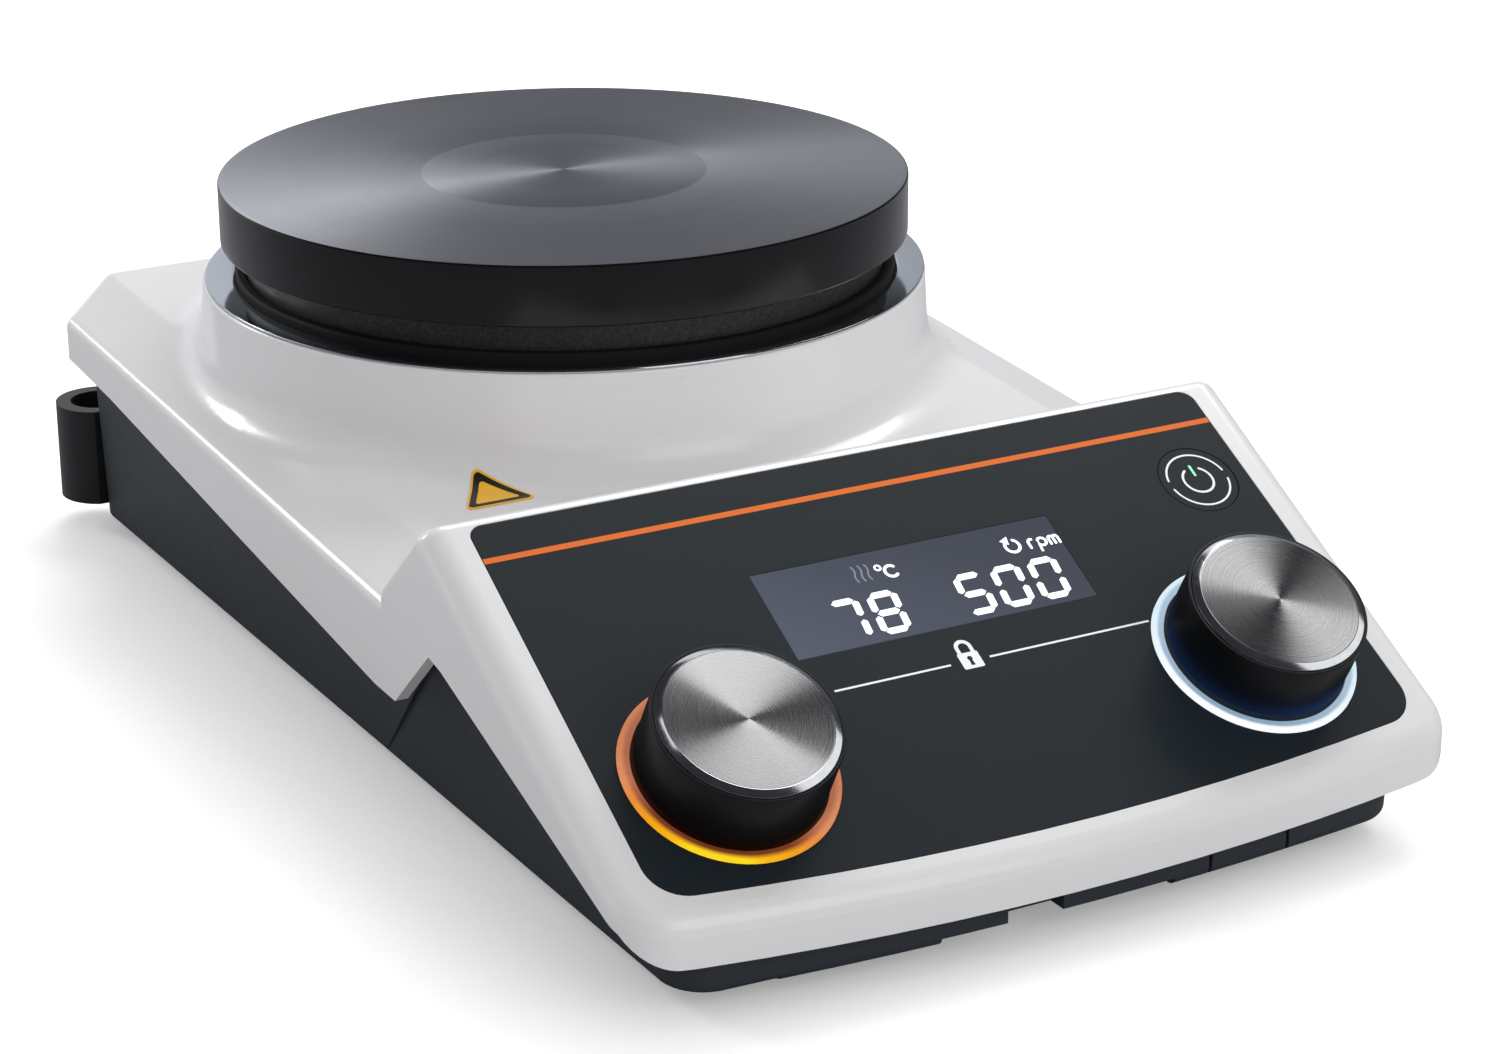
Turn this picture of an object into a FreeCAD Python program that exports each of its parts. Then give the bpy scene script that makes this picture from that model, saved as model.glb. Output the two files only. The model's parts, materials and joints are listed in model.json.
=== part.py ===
import FreeCAD, Part
import math
import os
from itertools import count

import Sketcher
from FreeCAD import Placement, Rotation, Vector

# Magnetic hotplate stirrer, built as an assembly of separate pieces.
# Frame: +X to the right as the user faces the panel, +Y to the rear, +Z up, millimetres.
# Origin: centre of the footprint, on the resting plane of the feet.

doc = FreeCAD.newDocument("MagneticStirrer")
sheet = doc.addObject("Spreadsheet::Sheet", "dims")
sheet_rows = count(1)
pieces = []


class Size:
    """A number together with the sheet expression that drives it."""
    def __init__(self, text, value):
        self.text = text
        self.value = float(value)

    def __add__(self, other):
        return Size("(%s + %s)" % (self.text, text_of(other)), self.value + num(other))

    def __sub__(self, other):
        return Size("(%s - %s)" % (self.text, text_of(other)), self.value - num(other))

    def __mul__(self, other):
        return Size("(%s * %s)" % (self.text, text_of(other)), self.value * num(other))

    def __radd__(self, other):
        return Size("(%s + %s)" % (text_of(other), self.text), num(other) + self.value)

    def __rsub__(self, other):
        return Size("(%s - %s)" % (text_of(other), self.text), num(other) - self.value)

    def __rmul__(self, other):
        return Size("(%s * %s)" % (text_of(other), self.text), num(other) * self.value)

    def __neg__(self):
        return Size("(0 - %s)" % self.text, -self.value)


def num(x):
    return x.value if isinstance(x, Size) else float(x)


def text_of(x):
    return x.text if isinstance(x, Size) else repr(float(x))


def dim(alias, value, note=""):
    """Write one driving dimension to the sheet."""
    row = next(sheet_rows)
    sheet.set("A%d" % row, alias)
    sheet.set("B%d" % row, repr(float(value)))
    sheet.setAlias("B%d" % row, alias)
    if note:
        sheet.set("C%d" % row, note)
    return Size("dims." + alias, value)


# ---------------------------------------------------------------- driving dimensions
HALF_WIDTH = dim("cover_half_width", 87.0, "half width of the white cover")
BACK_Y = dim("cover_back_y", 134.3, "rear edge of the cover")
LIP_Y = dim("cover_front_y", -150.9, "front lip of the cover at the middle")
LIP_BOW = dim("front_sagitta", 5.07, "bow of the front lip over its half width")
DECK_BACK_Z = dim("deck_back_z", 60.6, "deck height at the rear edge")
DECK_FRONT_Y = dim("deck_front_y", -47.7, "where the deck meets the riser")
DECK_FRONT_Z = dim("deck_front_z", 50.0)
CREST_Y = dim("crest_y", -65.7, "top of the control panel")
CREST_Z = dim("crest_z", 66.3)
PANEL_TILT = dim("panel_tilt_deg", 29.42, "slope of the control panel")
PANEL_Y = dim("panel_origin_y", -67.78, "upper edge of the fascia")
PANEL_Z = dim("panel_origin_z", 65.11)
AXIS_Y = dim("plate_axis_y", 48.3, "plate and stirring axis")
PLATE_RADIUS = dim("plate_radius", 72.5, "heating plate, 145 mm across")
PLATE_THICK = dim("plate_thickness", 12.5)
PLATE_TOP = dim("plate_top_z", 94.0)
BOSS_RADIUS = dim("boss_radius", 76.3)
BOSS_TOP = dim("boss_top_z", 73.35)
BOSS_OPENING = dim("boss_opening_radius", 70.2)
BOSS_FILLET = dim("boss_fillet", 9.5)
WALL = dim("cover_wall", 2.6)
FACET_X = dim("facet_start_x", 72.0)
FACET_DROP = dim("facet_drop", 4.41)
TRIM_RADIUS = dim("trim_ring_radius", 76.06)
TRIM_INNER = dim("trim_ring_inner_radius", 69.95)
DRUM_RADIUS = dim("shield_drum_radius", 67.5)
BASE_HALF = dim("base_half_width", 78.2)
BASE_HALF_LOW = dim("base_half_width_bottom", 76.3)
BASE_Z = dim("base_bottom_z", 3.5, "foot height")
FLOOR_Z = dim("base_floor_z", 6.0)
BASE_BACK = dim("base_back_y", 132.6)
BASE_FRONT = dim("base_front_y", -147.5)
FASCIA_HALF = dim("fascia_half_width_top", 78.58)
FASCIA_HALF_LOW = dim("fascia_half_width_bottom", 79.9)
FASCIA_LENGTH = dim("fascia_length", 90.0)
FASCIA_THICK = dim("fascia_thickness", 1.5)
KNOB_U = dim("knob_u", 55.67, "u runs across the panel")
KNOB_V = dim("knob_v", 63.36, "v runs down the panel")
KNOB_RADIUS = dim("knob_radius", 17.35)
KNOB_TOP = dim("knob_height", 14.33)
KNOB_GAP = dim("knob_base_gap", 1.3)
CAP_RADIUS = dim("knob_cap_radius", 16.88)
CAP_THICK = dim("knob_cap_thickness", 1.4)
LIGHT_RADIUS = dim("light_ring_radius", 19.95)
ENCODER_RADIUS = dim("encoder_shaft_radius", 3.0)
CLEARANCE = dim("running_clearance", 0.03)
DISPLAY_HALF = dim("display_half_width", 32.0)
DISPLAY_TOP_V = dim("display_top_v", 23.2)
DISPLAY_LOW_V = dim("display_bottom_v", 43.6)
KEY_U = dim("key_u", 67.9)
KEY_V = dim("key_v", 22.2)
KEY_RADIUS = dim("key_radius", 8.2)
BOARD_THICK = dim("board_thickness", 1.6)
ROD_X = dim("rod_socket_x", -73.5)
ROD_Y = dim("rod_socket_y", 141.3)
ROD_RADIUS = dim("rod_socket_outer_radius", 9.6)
ROD_BORE = dim("rod_socket_bore_radius", 6.3)
ROD_Z = dim("rod_socket_bottom_z", 6.5)
ROD_LENGTH = dim("rod_socket_length", 22.0)
SHAFT_RADIUS = dim("motor_shaft_radius", 2.98)
BEARING_RADIUS = dim("bearing_outer_radius", 7.5)
BEARING_BORE = dim("bearing_bore_radius", 3.0)
BEARING_WIDTH = dim("bearing_width", 5.0)
CUP_RADIUS = dim("rotor_cup_radius", 29.0)
STATOR_RADIUS = dim("stator_radius", 24.0)
STATOR_Z = dim("stator_z", 36.5)
STATOR_HEIGHT = dim("stator_height", 7.0)
TEETH = dim("stator_teeth", 9)
MAGNET_RADIUS = dim("drive_magnet_radius", 9.0)
MAGNET_OFFSET = dim("drive_magnet_offset", 17.0)
CHASSIS_RADIUS = dim("chassis_radius", 64.0)
CHASSIS_Z = dim("chassis_z", 28.0)
CHASSIS_THICK = dim("chassis_thickness", 2.0)
STANDOFF_CIRCLE = dim("standoff_circle_radius", 58.0)
STANDOFF_RADIUS = dim("standoff_radius", 4.0)
FOOT_RADIUS = dim("foot_radius", 8.0)
POST_RADIUS = dim("cover_post_radius", 3.9)
LABEL_SIDE = dim("label_side", 15.5)
LABEL_Y = dim("label_base_y", -25.2)
doc.recompute()


# ---------------------------------------------------------------- placing
def at(x, y, z, rotation=None):
    return Placement(Vector(num(x), num(y), num(z)), rotation or Rotation())


def places(points, z=0.0, rotation=None, frame=Placement()):
    """A placement at height z for each (x, y) point of a frame."""
    return [frame.multiply(at(x, y, z, rotation)) for x, y in points]


def pairs(points):
    """Each point followed by its mirror image across x = 0."""
    return [(side * x, y) for x, y in points for side in (1, -1)]


def mirrored(points):
    """Outline closed across x = 0, from the points of its right half, in order."""
    return [(-x, y) for x, y in points] + points[::-1]


def ring_points(radius, angles):
    """Points on a circle about the stirring axis."""
    return [(num(radius) * math.cos(math.radians(angle)),
             AXIS_Y.value + num(radius) * math.sin(math.radians(angle))) for angle in angles]


def near(a, b, tolerance):
    return abs(a - b) < tolerance


# ---------------------------------------------------------------- solids
def bind(obj, prop, size):
    setattr(obj, prop, num(size))
    if isinstance(size, Size):
        obj.setExpression(prop, size.text)


def box(name, length, width, height, place=None):
    solid = doc.addObject("Part::Box", name)
    bind(solid, "Length", length)
    bind(solid, "Width", width)
    bind(solid, "Height", height)
    solid.Placement = place or Placement()
    return solid


def block(name, length, width, height, x, y, z):
    """Box centred on x and y, standing on z."""
    corner = at(num(x) - num(length) / 2, num(y) - num(width) / 2, z)
    return box(name, length, width, height, corner)


def cyl(name, radius, height, place=None):
    solid = doc.addObject("Part::Cylinder", name)
    bind(solid, "Radius", radius)
    bind(solid, "Height", height)
    solid.Placement = place or Placement()
    return solid


def cyls(name, radius, height, where):
    return [cyl("%s_%d" % (name, i), radius, height, place) for i, place in enumerate(where)]


def fuse(name, solids, refine=True):
    union = doc.addObject("Part::MultiFuse", name)
    union.Shapes = solids
    union.Refine = refine
    return union


def group(name, solids):
    compound = doc.addObject("Part::Compound", name)
    compound.Links = solids
    return compound


def cut(name, base, tools, refine=False):
    result = doc.addObject("Part::Cut", name)
    result.Base = base
    result.Tool = tools[0] if len(tools) == 1 else fuse(name + "_tools", tools, refine=False)
    result.Refine = refine
    return result


def common(name, first, second, refine=True):
    result = doc.addObject("Part::Common", name)
    result.Base = first
    result.Tool = second
    result.Refine = refine
    return result


def fillet(name, base, picks):
    """Round edges. picks: (radius, test(bounding box, edge)); the first test that holds counts."""
    doc.recompute()
    result = doc.addObject("Part::Fillet", name)
    result.Base = base
    chosen = []
    for number, edge in enumerate(base.Shape.Edges, 1):
        for radius, test in picks:
            if test(edge.BoundBox, edge):
                chosen.append((number, num(radius), num(radius)))
                break
    if not chosen:
        raise RuntimeError("no edge chosen for " + name)
    result.Edges = chosen
    doc.recompute()
    if result.Shape.isNull() or not result.Shape.isValid():
        raise RuntimeError("fillet failed: " + name)
    return result


def feature(name, shape, place=None):
    result = doc.addObject("Part::Feature", name)
    result.Shape = shape
    if place is not None:
        result.Placement = place
    return result


def piece(obj, label, place=None):
    """Register an object as a finished piece."""
    if place is not None:
        obj.Placement = place
    obj.Label = label
    pieces.append((label, obj))


def piece_set(label, master, where):
    """One piece made of identical separate solids."""
    doc.recompute()
    solids = []
    for place in where:
        solid = master.Shape.copy()
        solid.Placement = place.multiply(solid.Placement)
        solids.append(solid)
    piece(feature(label, Part.makeCompound(solids)), label)


# ---------------------------------------------------------------- sketched bodies
def new_sketch(body, name, role, offset=0.0):
    sketch = body.newObject("Sketcher::SketchObject", name)
    plane = next(f for f in body.Origin.OriginFeatures if f.Role == role)
    sketch.AttachmentSupport = [(plane, "")]
    sketch.MapMode = "FlatFace"
    if num(offset) != 0.0:
        sketch.AttachmentOffset = at(0, 0, offset)
    return sketch


def tie(sketch, *constraint):
    return sketch.addConstraint(Sketcher.Constraint(*constraint))


def drive(sketch, index, size):
    if isinstance(size, Size):
        sketch.setExpression("Constraints[%d]" % index, size.text)


def pin(sketch, geometry, vertex, point):
    """Fix a vertex by its distances from the sketch origin."""
    for kind, axis, value in (("DistanceX", -2, point[0]), ("DistanceY", -1, point[1])):
        if not isinstance(value, Size) and abs(value) < 1e-9:
            tie(sketch, "PointOnObject", geometry, vertex, axis)
        else:
            drive(sketch, tie(sketch, kind, -1, 1, geometry, vertex, num(value)), value)


def flat(point):
    return Vector(num(point[0]), num(point[1]), 0)


def draw_circle(sketch, radius):
    """Circle about the sketch origin."""
    ring = sketch.addGeometry(Part.Circle(Vector(), Vector(0, 0, 1), num(radius)), False)
    pin(sketch, ring, 3, (0, 0))
    drive(sketch, tie(sketch, "Radius", ring, num(radius)), radius)


def draw_outline(sketch, points, bow=None):
    """Closed polygon; with bow, its closing edge is an arc through that point."""
    ends = points[1:] + ([] if bow else points[:1])
    lines = [sketch.addGeometry(Part.LineSegment(flat(a), flat(b)), False)
             for a, b in zip(points, ends)]
    for a, b in zip(lines, lines[1:]):
        tie(sketch, "Coincident", a, 2, b, 1)
    if bow is None:
        tie(sketch, "Coincident", lines[-1], 2, lines[0], 1)
        for line, point in zip(lines, points):
            pin(sketch, line, 1, point)
        return
    last = flat(points[-1])
    arc = sketch.addGeometry(Part.Arc(last, flat(bow), flat(points[0])), False)
    radius = sketch.Geometry[arc].Radius
    for line, point in zip(lines, points):
        pin(sketch, line, 1, point)
    pin(sketch, lines[-1], 2, points[-1])
    # the sketcher may store the arc in either direction
    forward = sketch.getPoint(arc, 1).distanceToPoint(last) < 1e-6
    start, end = (1, 2) if forward else (2, 1)
    tie(sketch, "Coincident", arc, start, lines[-1], 2)
    tie(sketch, "Coincident", arc, end, lines[0], 1)
    tie(sketch, "Radius", arc, radius)


def add_pad(body, name, sketch, length):
    result = body.newObject("PartDesign::Pad", name)
    result.Profile = sketch
    bind(result, "Length", length)
    return result


def pad(name, role, points, length, offset=0.0, bow=None):
    body = doc.addObject("PartDesign::Body", name)
    sketch = new_sketch(body, name + "_sketch", role, offset)
    draw_outline(sketch, points, bow)
    add_pad(body, name + "_pad", sketch, length)
    sketch.Visibility = False
    return body


def turned(name, points, place=None):
    """Body of revolution about Z from an (r, z) outline."""
    body = doc.addObject("PartDesign::Body", name)
    sketch = new_sketch(body, name + "_sketch", "XZ_Plane")
    draw_outline(sketch, points)
    revolution = body.newObject("PartDesign::Revolution", name + "_turn")
    revolution.Profile = sketch
    revolution.ReferenceAxis = (sketch, ["V_Axis"])
    revolution.Angle = 360.0
    if place is not None:
        body.Placement = place
    return body


def screw(name, shank, length, head, head_height, drive_radius):
    """Pan-head screw, shank pointing to -Z, underside of the head at z = 0, hex socket."""
    body = turned(name, [
        (0, -length), (shank - 0.3, -length), (shank, -length + 0.4), (shank, 0), (head, 0),
        (head, head_height * 0.6), (head - 0.5, head_height), (0, head_height)])
    doc.recompute()
    sketch = new_sketch(body, name + "_drive", "XY_Plane", head_height)
    corners = [Vector(drive_radius * math.cos(math.radians(60 * k)),
                      drive_radius * math.sin(math.radians(60 * k)), 0) for k in range(6)]
    for k in range(6):
        sketch.addGeometry(Part.LineSegment(corners[k], corners[(k + 1) % 6]), False)
    for k in range(6):
        tie(sketch, "Coincident", k, 2, (k + 1) % 6, 1)
    pocket = body.newObject("PartDesign::Pocket", name + "_socket")
    pocket.Profile = sketch
    pocket.Length = head_height * 0.6
    doc.recompute()
    return body


def tube(name, points, radius):
    """Round cable along a smooth curve through the points."""
    curve = Part.BSplineCurve()
    curve.interpolate([Vector(*point) for point in points])
    path = Part.Wire([curve.toShape()])
    tangent = curve.tangent(curve.FirstParameter)[0]
    profile = Part.Wire([Part.Circle(Vector(*points[0]), tangent, radius).toShape()])
    return feature(name, path.makePipeShell([profile], True, True))


# ---------------------------------------------------------------- shared frames and places
FLIP = Rotation(Vector(1, 0, 0), 180)
TO_REAR = Rotation(Vector(1, 0, 0), -90)    # local z towards the rear
TO_RIGHT = Rotation(Vector(0, 1, 0), 90)    # local z towards the right
DECK_TURN = Rotation(Vector(1, 0, 0), math.degrees(math.atan2(
    num(DECK_BACK_Z - DECK_FRONT_Z), num(BACK_Y - DECK_FRONT_Y))))
AXIS = at(0, AXIS_Y, 0)
# Panel frame: x across, y up the slope, z out of the fascia.
PANEL = at(0, PANEL_Y, PANEL_Z, Rotation(Vector(1, 0, 0), PANEL_TILT.value))
KEY_PLACE = PANEL.multiply(at(KEY_U, -KEY_V, 0))
DISPLAY_V = 0.5 * (DISPLAY_TOP_V + DISPLAY_LOW_V)
DISPLAY_HEIGHT = DISPLAY_LOW_V - DISPLAY_TOP_V

INNER_HALF = HALF_WIDTH - WALL
INNER_BACK = BACK_Y - WALL
PLATE_UNDER = PLATE_TOP - PLATE_THICK
CHASSIS_TOP = CHASSIS_Z + CHASSIS_THICK

# (x, y) points
POSTS = pairs([(68.5, -137.0), (68.5, -30.0), (67.0, 112.0)])
POST_TOPS = {-137.0: 20.2, -30.0: 48.6, 112.0: 56.9}    # post y: top z
FEET = pairs([(58.0, -122.0), (56.0, 103.0)])
CHASSIS_POSTS = pairs([(41.0, AXIS_Y - 41.0), (41.0, AXIS_Y + 41.0)])
MAIN_BOARD_HOLES = pairs([(54.0, -106.0), (54.0, -26.0)])
DISPLAY_BOARD_HOLES = pairs([(-50.0, -20.0), (-27.0, -80.0)])    # in the panel frame
STANDOFFS = ring_points(STANDOFF_CIRCLE, (90.0, 210.0, 330.0))
SENSORS = [(-7.0, AXIS_Y), (7.0, AXIS_Y)]
CLAMP_SCREWS = ring_points(12.5, (30, 150, 270))
MOTOR_SCREWS = ring_points(16.5, (45.0, 165.0, 285.0))
MAGNETS = [(-MAGNET_OFFSET, AXIS_Y), (MAGNET_OFFSET, AXIS_Y)]
CARRIER_SCREWS = [(0, AXIS_Y - 20), (0, AXIS_Y + 20)]

INLET_X, INLET_Z = 36.0, 23.5
INLET_SCREW_X = (INLET_X - 20.0, INLET_X + 20.0)
SOCKET_X, SOCKET_Z = -20.0, 26.0
ROD_SCREW_X = -50.0
ROD_SCREW_Z = (11.5, 23.5)
ROD_FACE = BASE_BACK + 0.05
ROD_CLAMP_Z = ROD_Z + ROD_LENGTH * 0.5
LOWER_BEARING, UPPER_BEARING = 31.0, 45.0    # z of the undersides
MAGNET_Z = 54.5
MAIN_BOARD_Z = 10.02
PARTS_Z = 11.65    # where the parts stand on the main board


# ================================================================ top cover
def front_corner(span, edge):
    return span.ZLength > 50 and span.YMax < -100


def rim_edge(span, edge):
    """Long outer edges of the deck and its edges at the rear, without the uprights there."""
    if not (span.ZMin > 44.9 and span.ZMax < 60.7):
        return False
    side = min(abs(span.XMin), abs(span.XMax)) > 86.9 and span.YLength > 100
    rear = span.YMin > 119 and edge.CenterOfMass.z > 54.9
    upright = span.ZLength > 5 and span.XLength < 0.5 and span.YLength < 0.5
    lengthwise = span.YLength > 20 and span.XLength < 1.5
    return side or (rear and not upright and not lengthwise)


def boss_foot_edge(span, edge):
    return span.ZMax < 65 and span.ZMin > 50.5 and all(
        abs(math.hypot(v.Point.x, v.Point.y - AXIS_Y.value) - 78) < 3.2 for v in edge.Vertexes)


def panel_edge(span, edge):
    """Sloping side edges of the panel, its rounded front corners and its front lip."""
    outer = near(abs(span.XMin), 87, 0.05) and near(abs(span.XMax), 87, 0.05)
    side = (outer and span.YMax < -65 and span.ZMax > 60
            and span.YLength > 40 and span.ZLength > 30)
    corner = (abs(span.XLength - 9) < 1 and span.YMax < -136
              and span.ZMin > 20 and span.ZMax < 27)
    lip = span.XLength > 150 and span.YMax < -146 and span.ZMin > 17.5 and span.ZMax < 21.5
    return side or corner or lip


def deck_section(name, half, bottom, side_top, crease, top):
    """Faceted cross-section swept along the slope of the deck; heights are from the deck."""
    section = pad(name, "XZ_Plane", mirrored([(half, bottom), (half, side_top), (crease, top)]),
                  220, -212)
    section.Placement = at(0, DECK_FRONT_Y, DECK_FRONT_Z, DECK_TURN)
    return section


def cover_block():
    """Outside of the cover without the boss, edges still sharp at the panel."""
    # (y, z) side outline
    full = pad("cover_side_profile", "YZ_Plane", [
        (BACK_Y, DECK_BACK_Z), (DECK_FRONT_Y, DECK_FRONT_Z), (CREST_Y, CREST_Z),
        (-152.5, 17.35), (-152.5, 9.0), (-147.1, 11.7), (-140.0, 17.8), (-73.0, 41.1),
        (-68.1, 42.1), (-52.4, 27.8), (-43.4, 28.0), (94.4, 44.3), (BACK_Y, 47.5)],
        HALF_WIDTH * 2, -HALF_WIDTH)
    plan = pad("cover_plan", "XY_Plane", mirrored([
        (HALF_WIDTH, LIP_Y + LIP_BOW), (HALF_WIDTH, BACK_Y - 14.0), (FACET_X, BACK_Y)]),
        100, bow=(0, LIP_Y))
    plan = fillet("cover_plan_rounded", plan, [
        (10.0, front_corner),
        (2.5, lambda span, edge: span.ZLength > 50 and span.YMin > 100)])
    rear = deck_section("cover_deck_section", HALF_WIDTH, -60, -FACET_DROP, FACET_X, 0)
    riser_slope = num(CREST_Z - DECK_FRONT_Z) / num(CREST_Y - DECK_FRONT_Y)
    front = pad("cover_front_section", "YZ_Plane", [
        (DECK_FRONT_Y, DECK_FRONT_Z),
        (DECK_FRONT_Y - 60.0, DECK_FRONT_Z.value - 60.0 * riser_slope),
        (-160, 120), (-160, 0), (DECK_FRONT_Y, 0)], HALF_WIDTH * 2, -HALF_WIDTH)
    sections = fuse("cover_sections", [rear, front])
    trimmed = common("cover_sections_trimmed", sections, full)
    whole = common("cover_block", trimmed, plan)
    crease = fillet("cover_crease", whole, [
        (4.0, lambda span, edge: near(abs(span.XMin), 72, 0.1)
            and near(abs(span.XMax), 72, 0.1) and span.YLength > 100)])
    return fillet("cover_rim", crease, [(2.5, rim_edge)])


def cover_skin():
    """Solid outside of the cover, with the round boss under the plate."""
    boss = turned("cover_boss", [
        (0, -45), (BOSS_RADIUS + 4.0, -45), (BOSS_RADIUS, 0), (BOSS_RADIUS - 0.1, 5), (0, 5)],
        at(0, AXIS_Y, BOSS_TOP, DECK_TURN))
    # the tilted boss is trimmed to a level top
    band = block("cover_boss_band", 400, 400, BOSS_TOP - 50.0, 0, AXIS_Y, 50)
    boss = common("cover_boss_trimmed", boss, band)
    skin = fuse("cover_with_boss", [cover_block(), boss])
    skin = fillet("cover_boss_blend", skin, [(BOSS_FILLET, boss_foot_edge)])
    skin = fillet("cover_panel_edges", skin, [(5.0, panel_edge)])
    skin = fillet("cover_crest", skin, [
        (3.0, lambda span, edge: span.XLength > 150 and near(span.YMin, -65.7, 0.1)
            and span.ZMin > 66)])
    return fillet("cover_boss_rim", skin, [(0.8, lambda span, edge: span.ZMin > 73.2)])


def cover_cavity():
    front_slope = [(-49.0, 47.4), (-65.3, 62.5), (-148.2, 15.8), (-148.2, -5)]    # (y, z)
    rear = deck_section("cover_inner_section", INNER_HALF, -70, -6.4, 71.6, -2.7)
    front = pad("cover_inner_front", "YZ_Plane", front_slope + [(-49.0, -5)],
                INNER_HALF * 2, -INNER_HALF)
    profile = pad("cover_inner_profile", "YZ_Plane",
                  [(INNER_BACK, 57.85)] + front_slope + [(INNER_BACK, -5)],
                  INNER_HALF * 2, -INNER_HALF)
    plan = pad("cover_inner_plan", "XY_Plane", mirrored([
        (INNER_HALF, -143.4), (INNER_HALF, 119.15), (70.95, INNER_BACK)]),
        110, -6, bow=(0, -148.2))
    plan = fillet("cover_inner_plan_rounded", plan, [(7.5, front_corner)])
    sections = fuse("cover_cavity_b", [rear, front])
    return common("cover_cavity", common("cover_cavity_a", sections, profile), plan)


def fascia_outline(name, grow, depth):
    """Fascia shape in the panel frame, grown outwards, from the back of the fascia up."""
    low_y = 4.95 - grow - FASCIA_LENGTH
    plate = pad(name, "XY_Plane", mirrored([
        (FASCIA_HALF_LOW + grow, low_y), (FASCIA_HALF + grow, grow)]),
        depth, -FASCIA_THICK, bow=(0, -FASCIA_LENGTH - grow))

    def upright(span):
        return span.ZLength > num(depth) * 0.9 and span.XLength < 0.1 and span.YLength < 0.1

    return fillet(name + "_rounded", plate, [
        (7.5 + grow, lambda span, edge: upright(span) and span.YMax < -50),
        (3.0 + grow, lambda span, edge: upright(span) and span.YMax > -50)])


def cover_panel_cuts():
    cuts = fuse("cover_panel_cuts", [
        fascia_outline("cover_recess", 0.15, 12.0),
        block("cover_display_opening", 75, 35, 8, 0, -33.5, -8),
        cyl("cover_knob_opening_a", 22, 8, at(KNOB_U, -KNOB_V, -8)),
        cyl("cover_knob_opening_b", 22, 8, at(-KNOB_U, -KNOB_V, -8)),
        cyl("cover_key_opening", 10, 8, at(KEY_U, -KEY_V, -8))], refine=False)
    cuts.Placement = PANEL
    return cuts


def top_cover(skin):
    shell = cut("cover_shell", skin, [
        cover_cavity(),
        cyl("cover_boss_bore", 73.6, 30.9, at(0, AXIS_Y, 40)),
        cyl("cover_boss_opening", BOSS_OPENING, 20, at(0, AXIS_Y, 60)),
        cover_panel_cuts()])
    posts = [cyl("cover_post_%d" % i, POST_RADIUS, POST_TOPS[y] - 8.05, at(x, y, 8.05))
             for i, (x, y) in enumerate(POSTS)]
    pilots = cyls("cover_pilot", 2.0, 11.95, places(POSTS, 8.0))
    bosses = cyls("cover_board_boss", 3.0, 6.65,
                  places(DISPLAY_BOARD_HOLES, -9.95, frame=PANEL))
    board_pilots = cyls("cover_board_pilot", 1.2, 5.0,
                        places(DISPLAY_BOARD_HOLES, -9.96, frame=PANEL))
    body = fuse("cover_with_posts", [shell] + posts + bosses, refine=False)
    piece(cut("cover_final", body, pilots + board_pilots), "top_cover")


# ================================================================ base tub
def base_block():
    side = pad("base_side_profile", "YZ_Plane", [
        (BASE_BACK, BASE_Z), (BASE_BACK, 46.2), (94.3, 46.2), (-43.3, 30.1), (-51.9, 29.9),
        (-67.4, 44.2), (-73.4, 43.3), (-139.5, 19.6), (-147.3, 15.6), (-150.0, 15.6),
        (-150.0, BASE_Z)], 170, -85)
    plan = pad("base_plan", "XY_Plane", mirrored([(80, BASE_FRONT + 5.5), (80, BASE_BACK)]),
               60, bow=(0, BASE_FRONT))
    section = pad("base_section", "XZ_Plane", mirrored([
        (BASE_HALF_LOW, BASE_Z), (BASE_HALF, 50)]), 320, -170)
    solid = common("base_block_a", side, plan)
    solid = common("base_block_b", solid, section)
    solid = fillet("base_corners", solid, [
        (9.0, lambda span, edge: span.ZLength > 8 and span.YMax < -135
            and span.XLength < 3 and span.YLength < 1),
        (3.0, lambda span, edge: span.ZLength > 30 and span.YMin > 130 and span.XLength < 3)])
    return fillet("base_bottom_edge", solid, [
        (2.0, lambda span, edge: span.ZMax < BASE_Z.value + 0.01)])


def base_flange():
    """Thin flange that follows the top of the tub, inside the cover."""
    profile = pad("base_flange_profile", "YZ_Plane", [
        (131.4, 46.2), (131.4, 49.2), (94.3, 47.3), (-43.3, 31.0), (-51.6, 30.8),
        (-67.3, 45.2), (-73.6, 44.3), (-139.0, 20.5), (-139.0, 19.0), (-73.3, 42.6),
        (-67.8, 43.7), (-52.0, 29.4), (-43.4, 29.5), (94.4, 45.8), (112.0, 46.2)], 170, -85)
    plan = pad("base_flange_plan", "XY_Plane", mirrored([
        (84.2, -143.2), (84.2, 119.0), (70.8, 131.5)]), 60, bow=(0, -148.0))
    plan = fillet("base_flange_plan_rounded", plan, [(7.4, front_corner)])
    return common("base_flange", profile, plan)


def flank_cut(name, side, inner, points):
    """Cut 10 deep into one flank, outwards from x = inner."""
    return pad(name, "YZ_Plane", points, 10, inner if side > 0 else -inner - 10)


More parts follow.
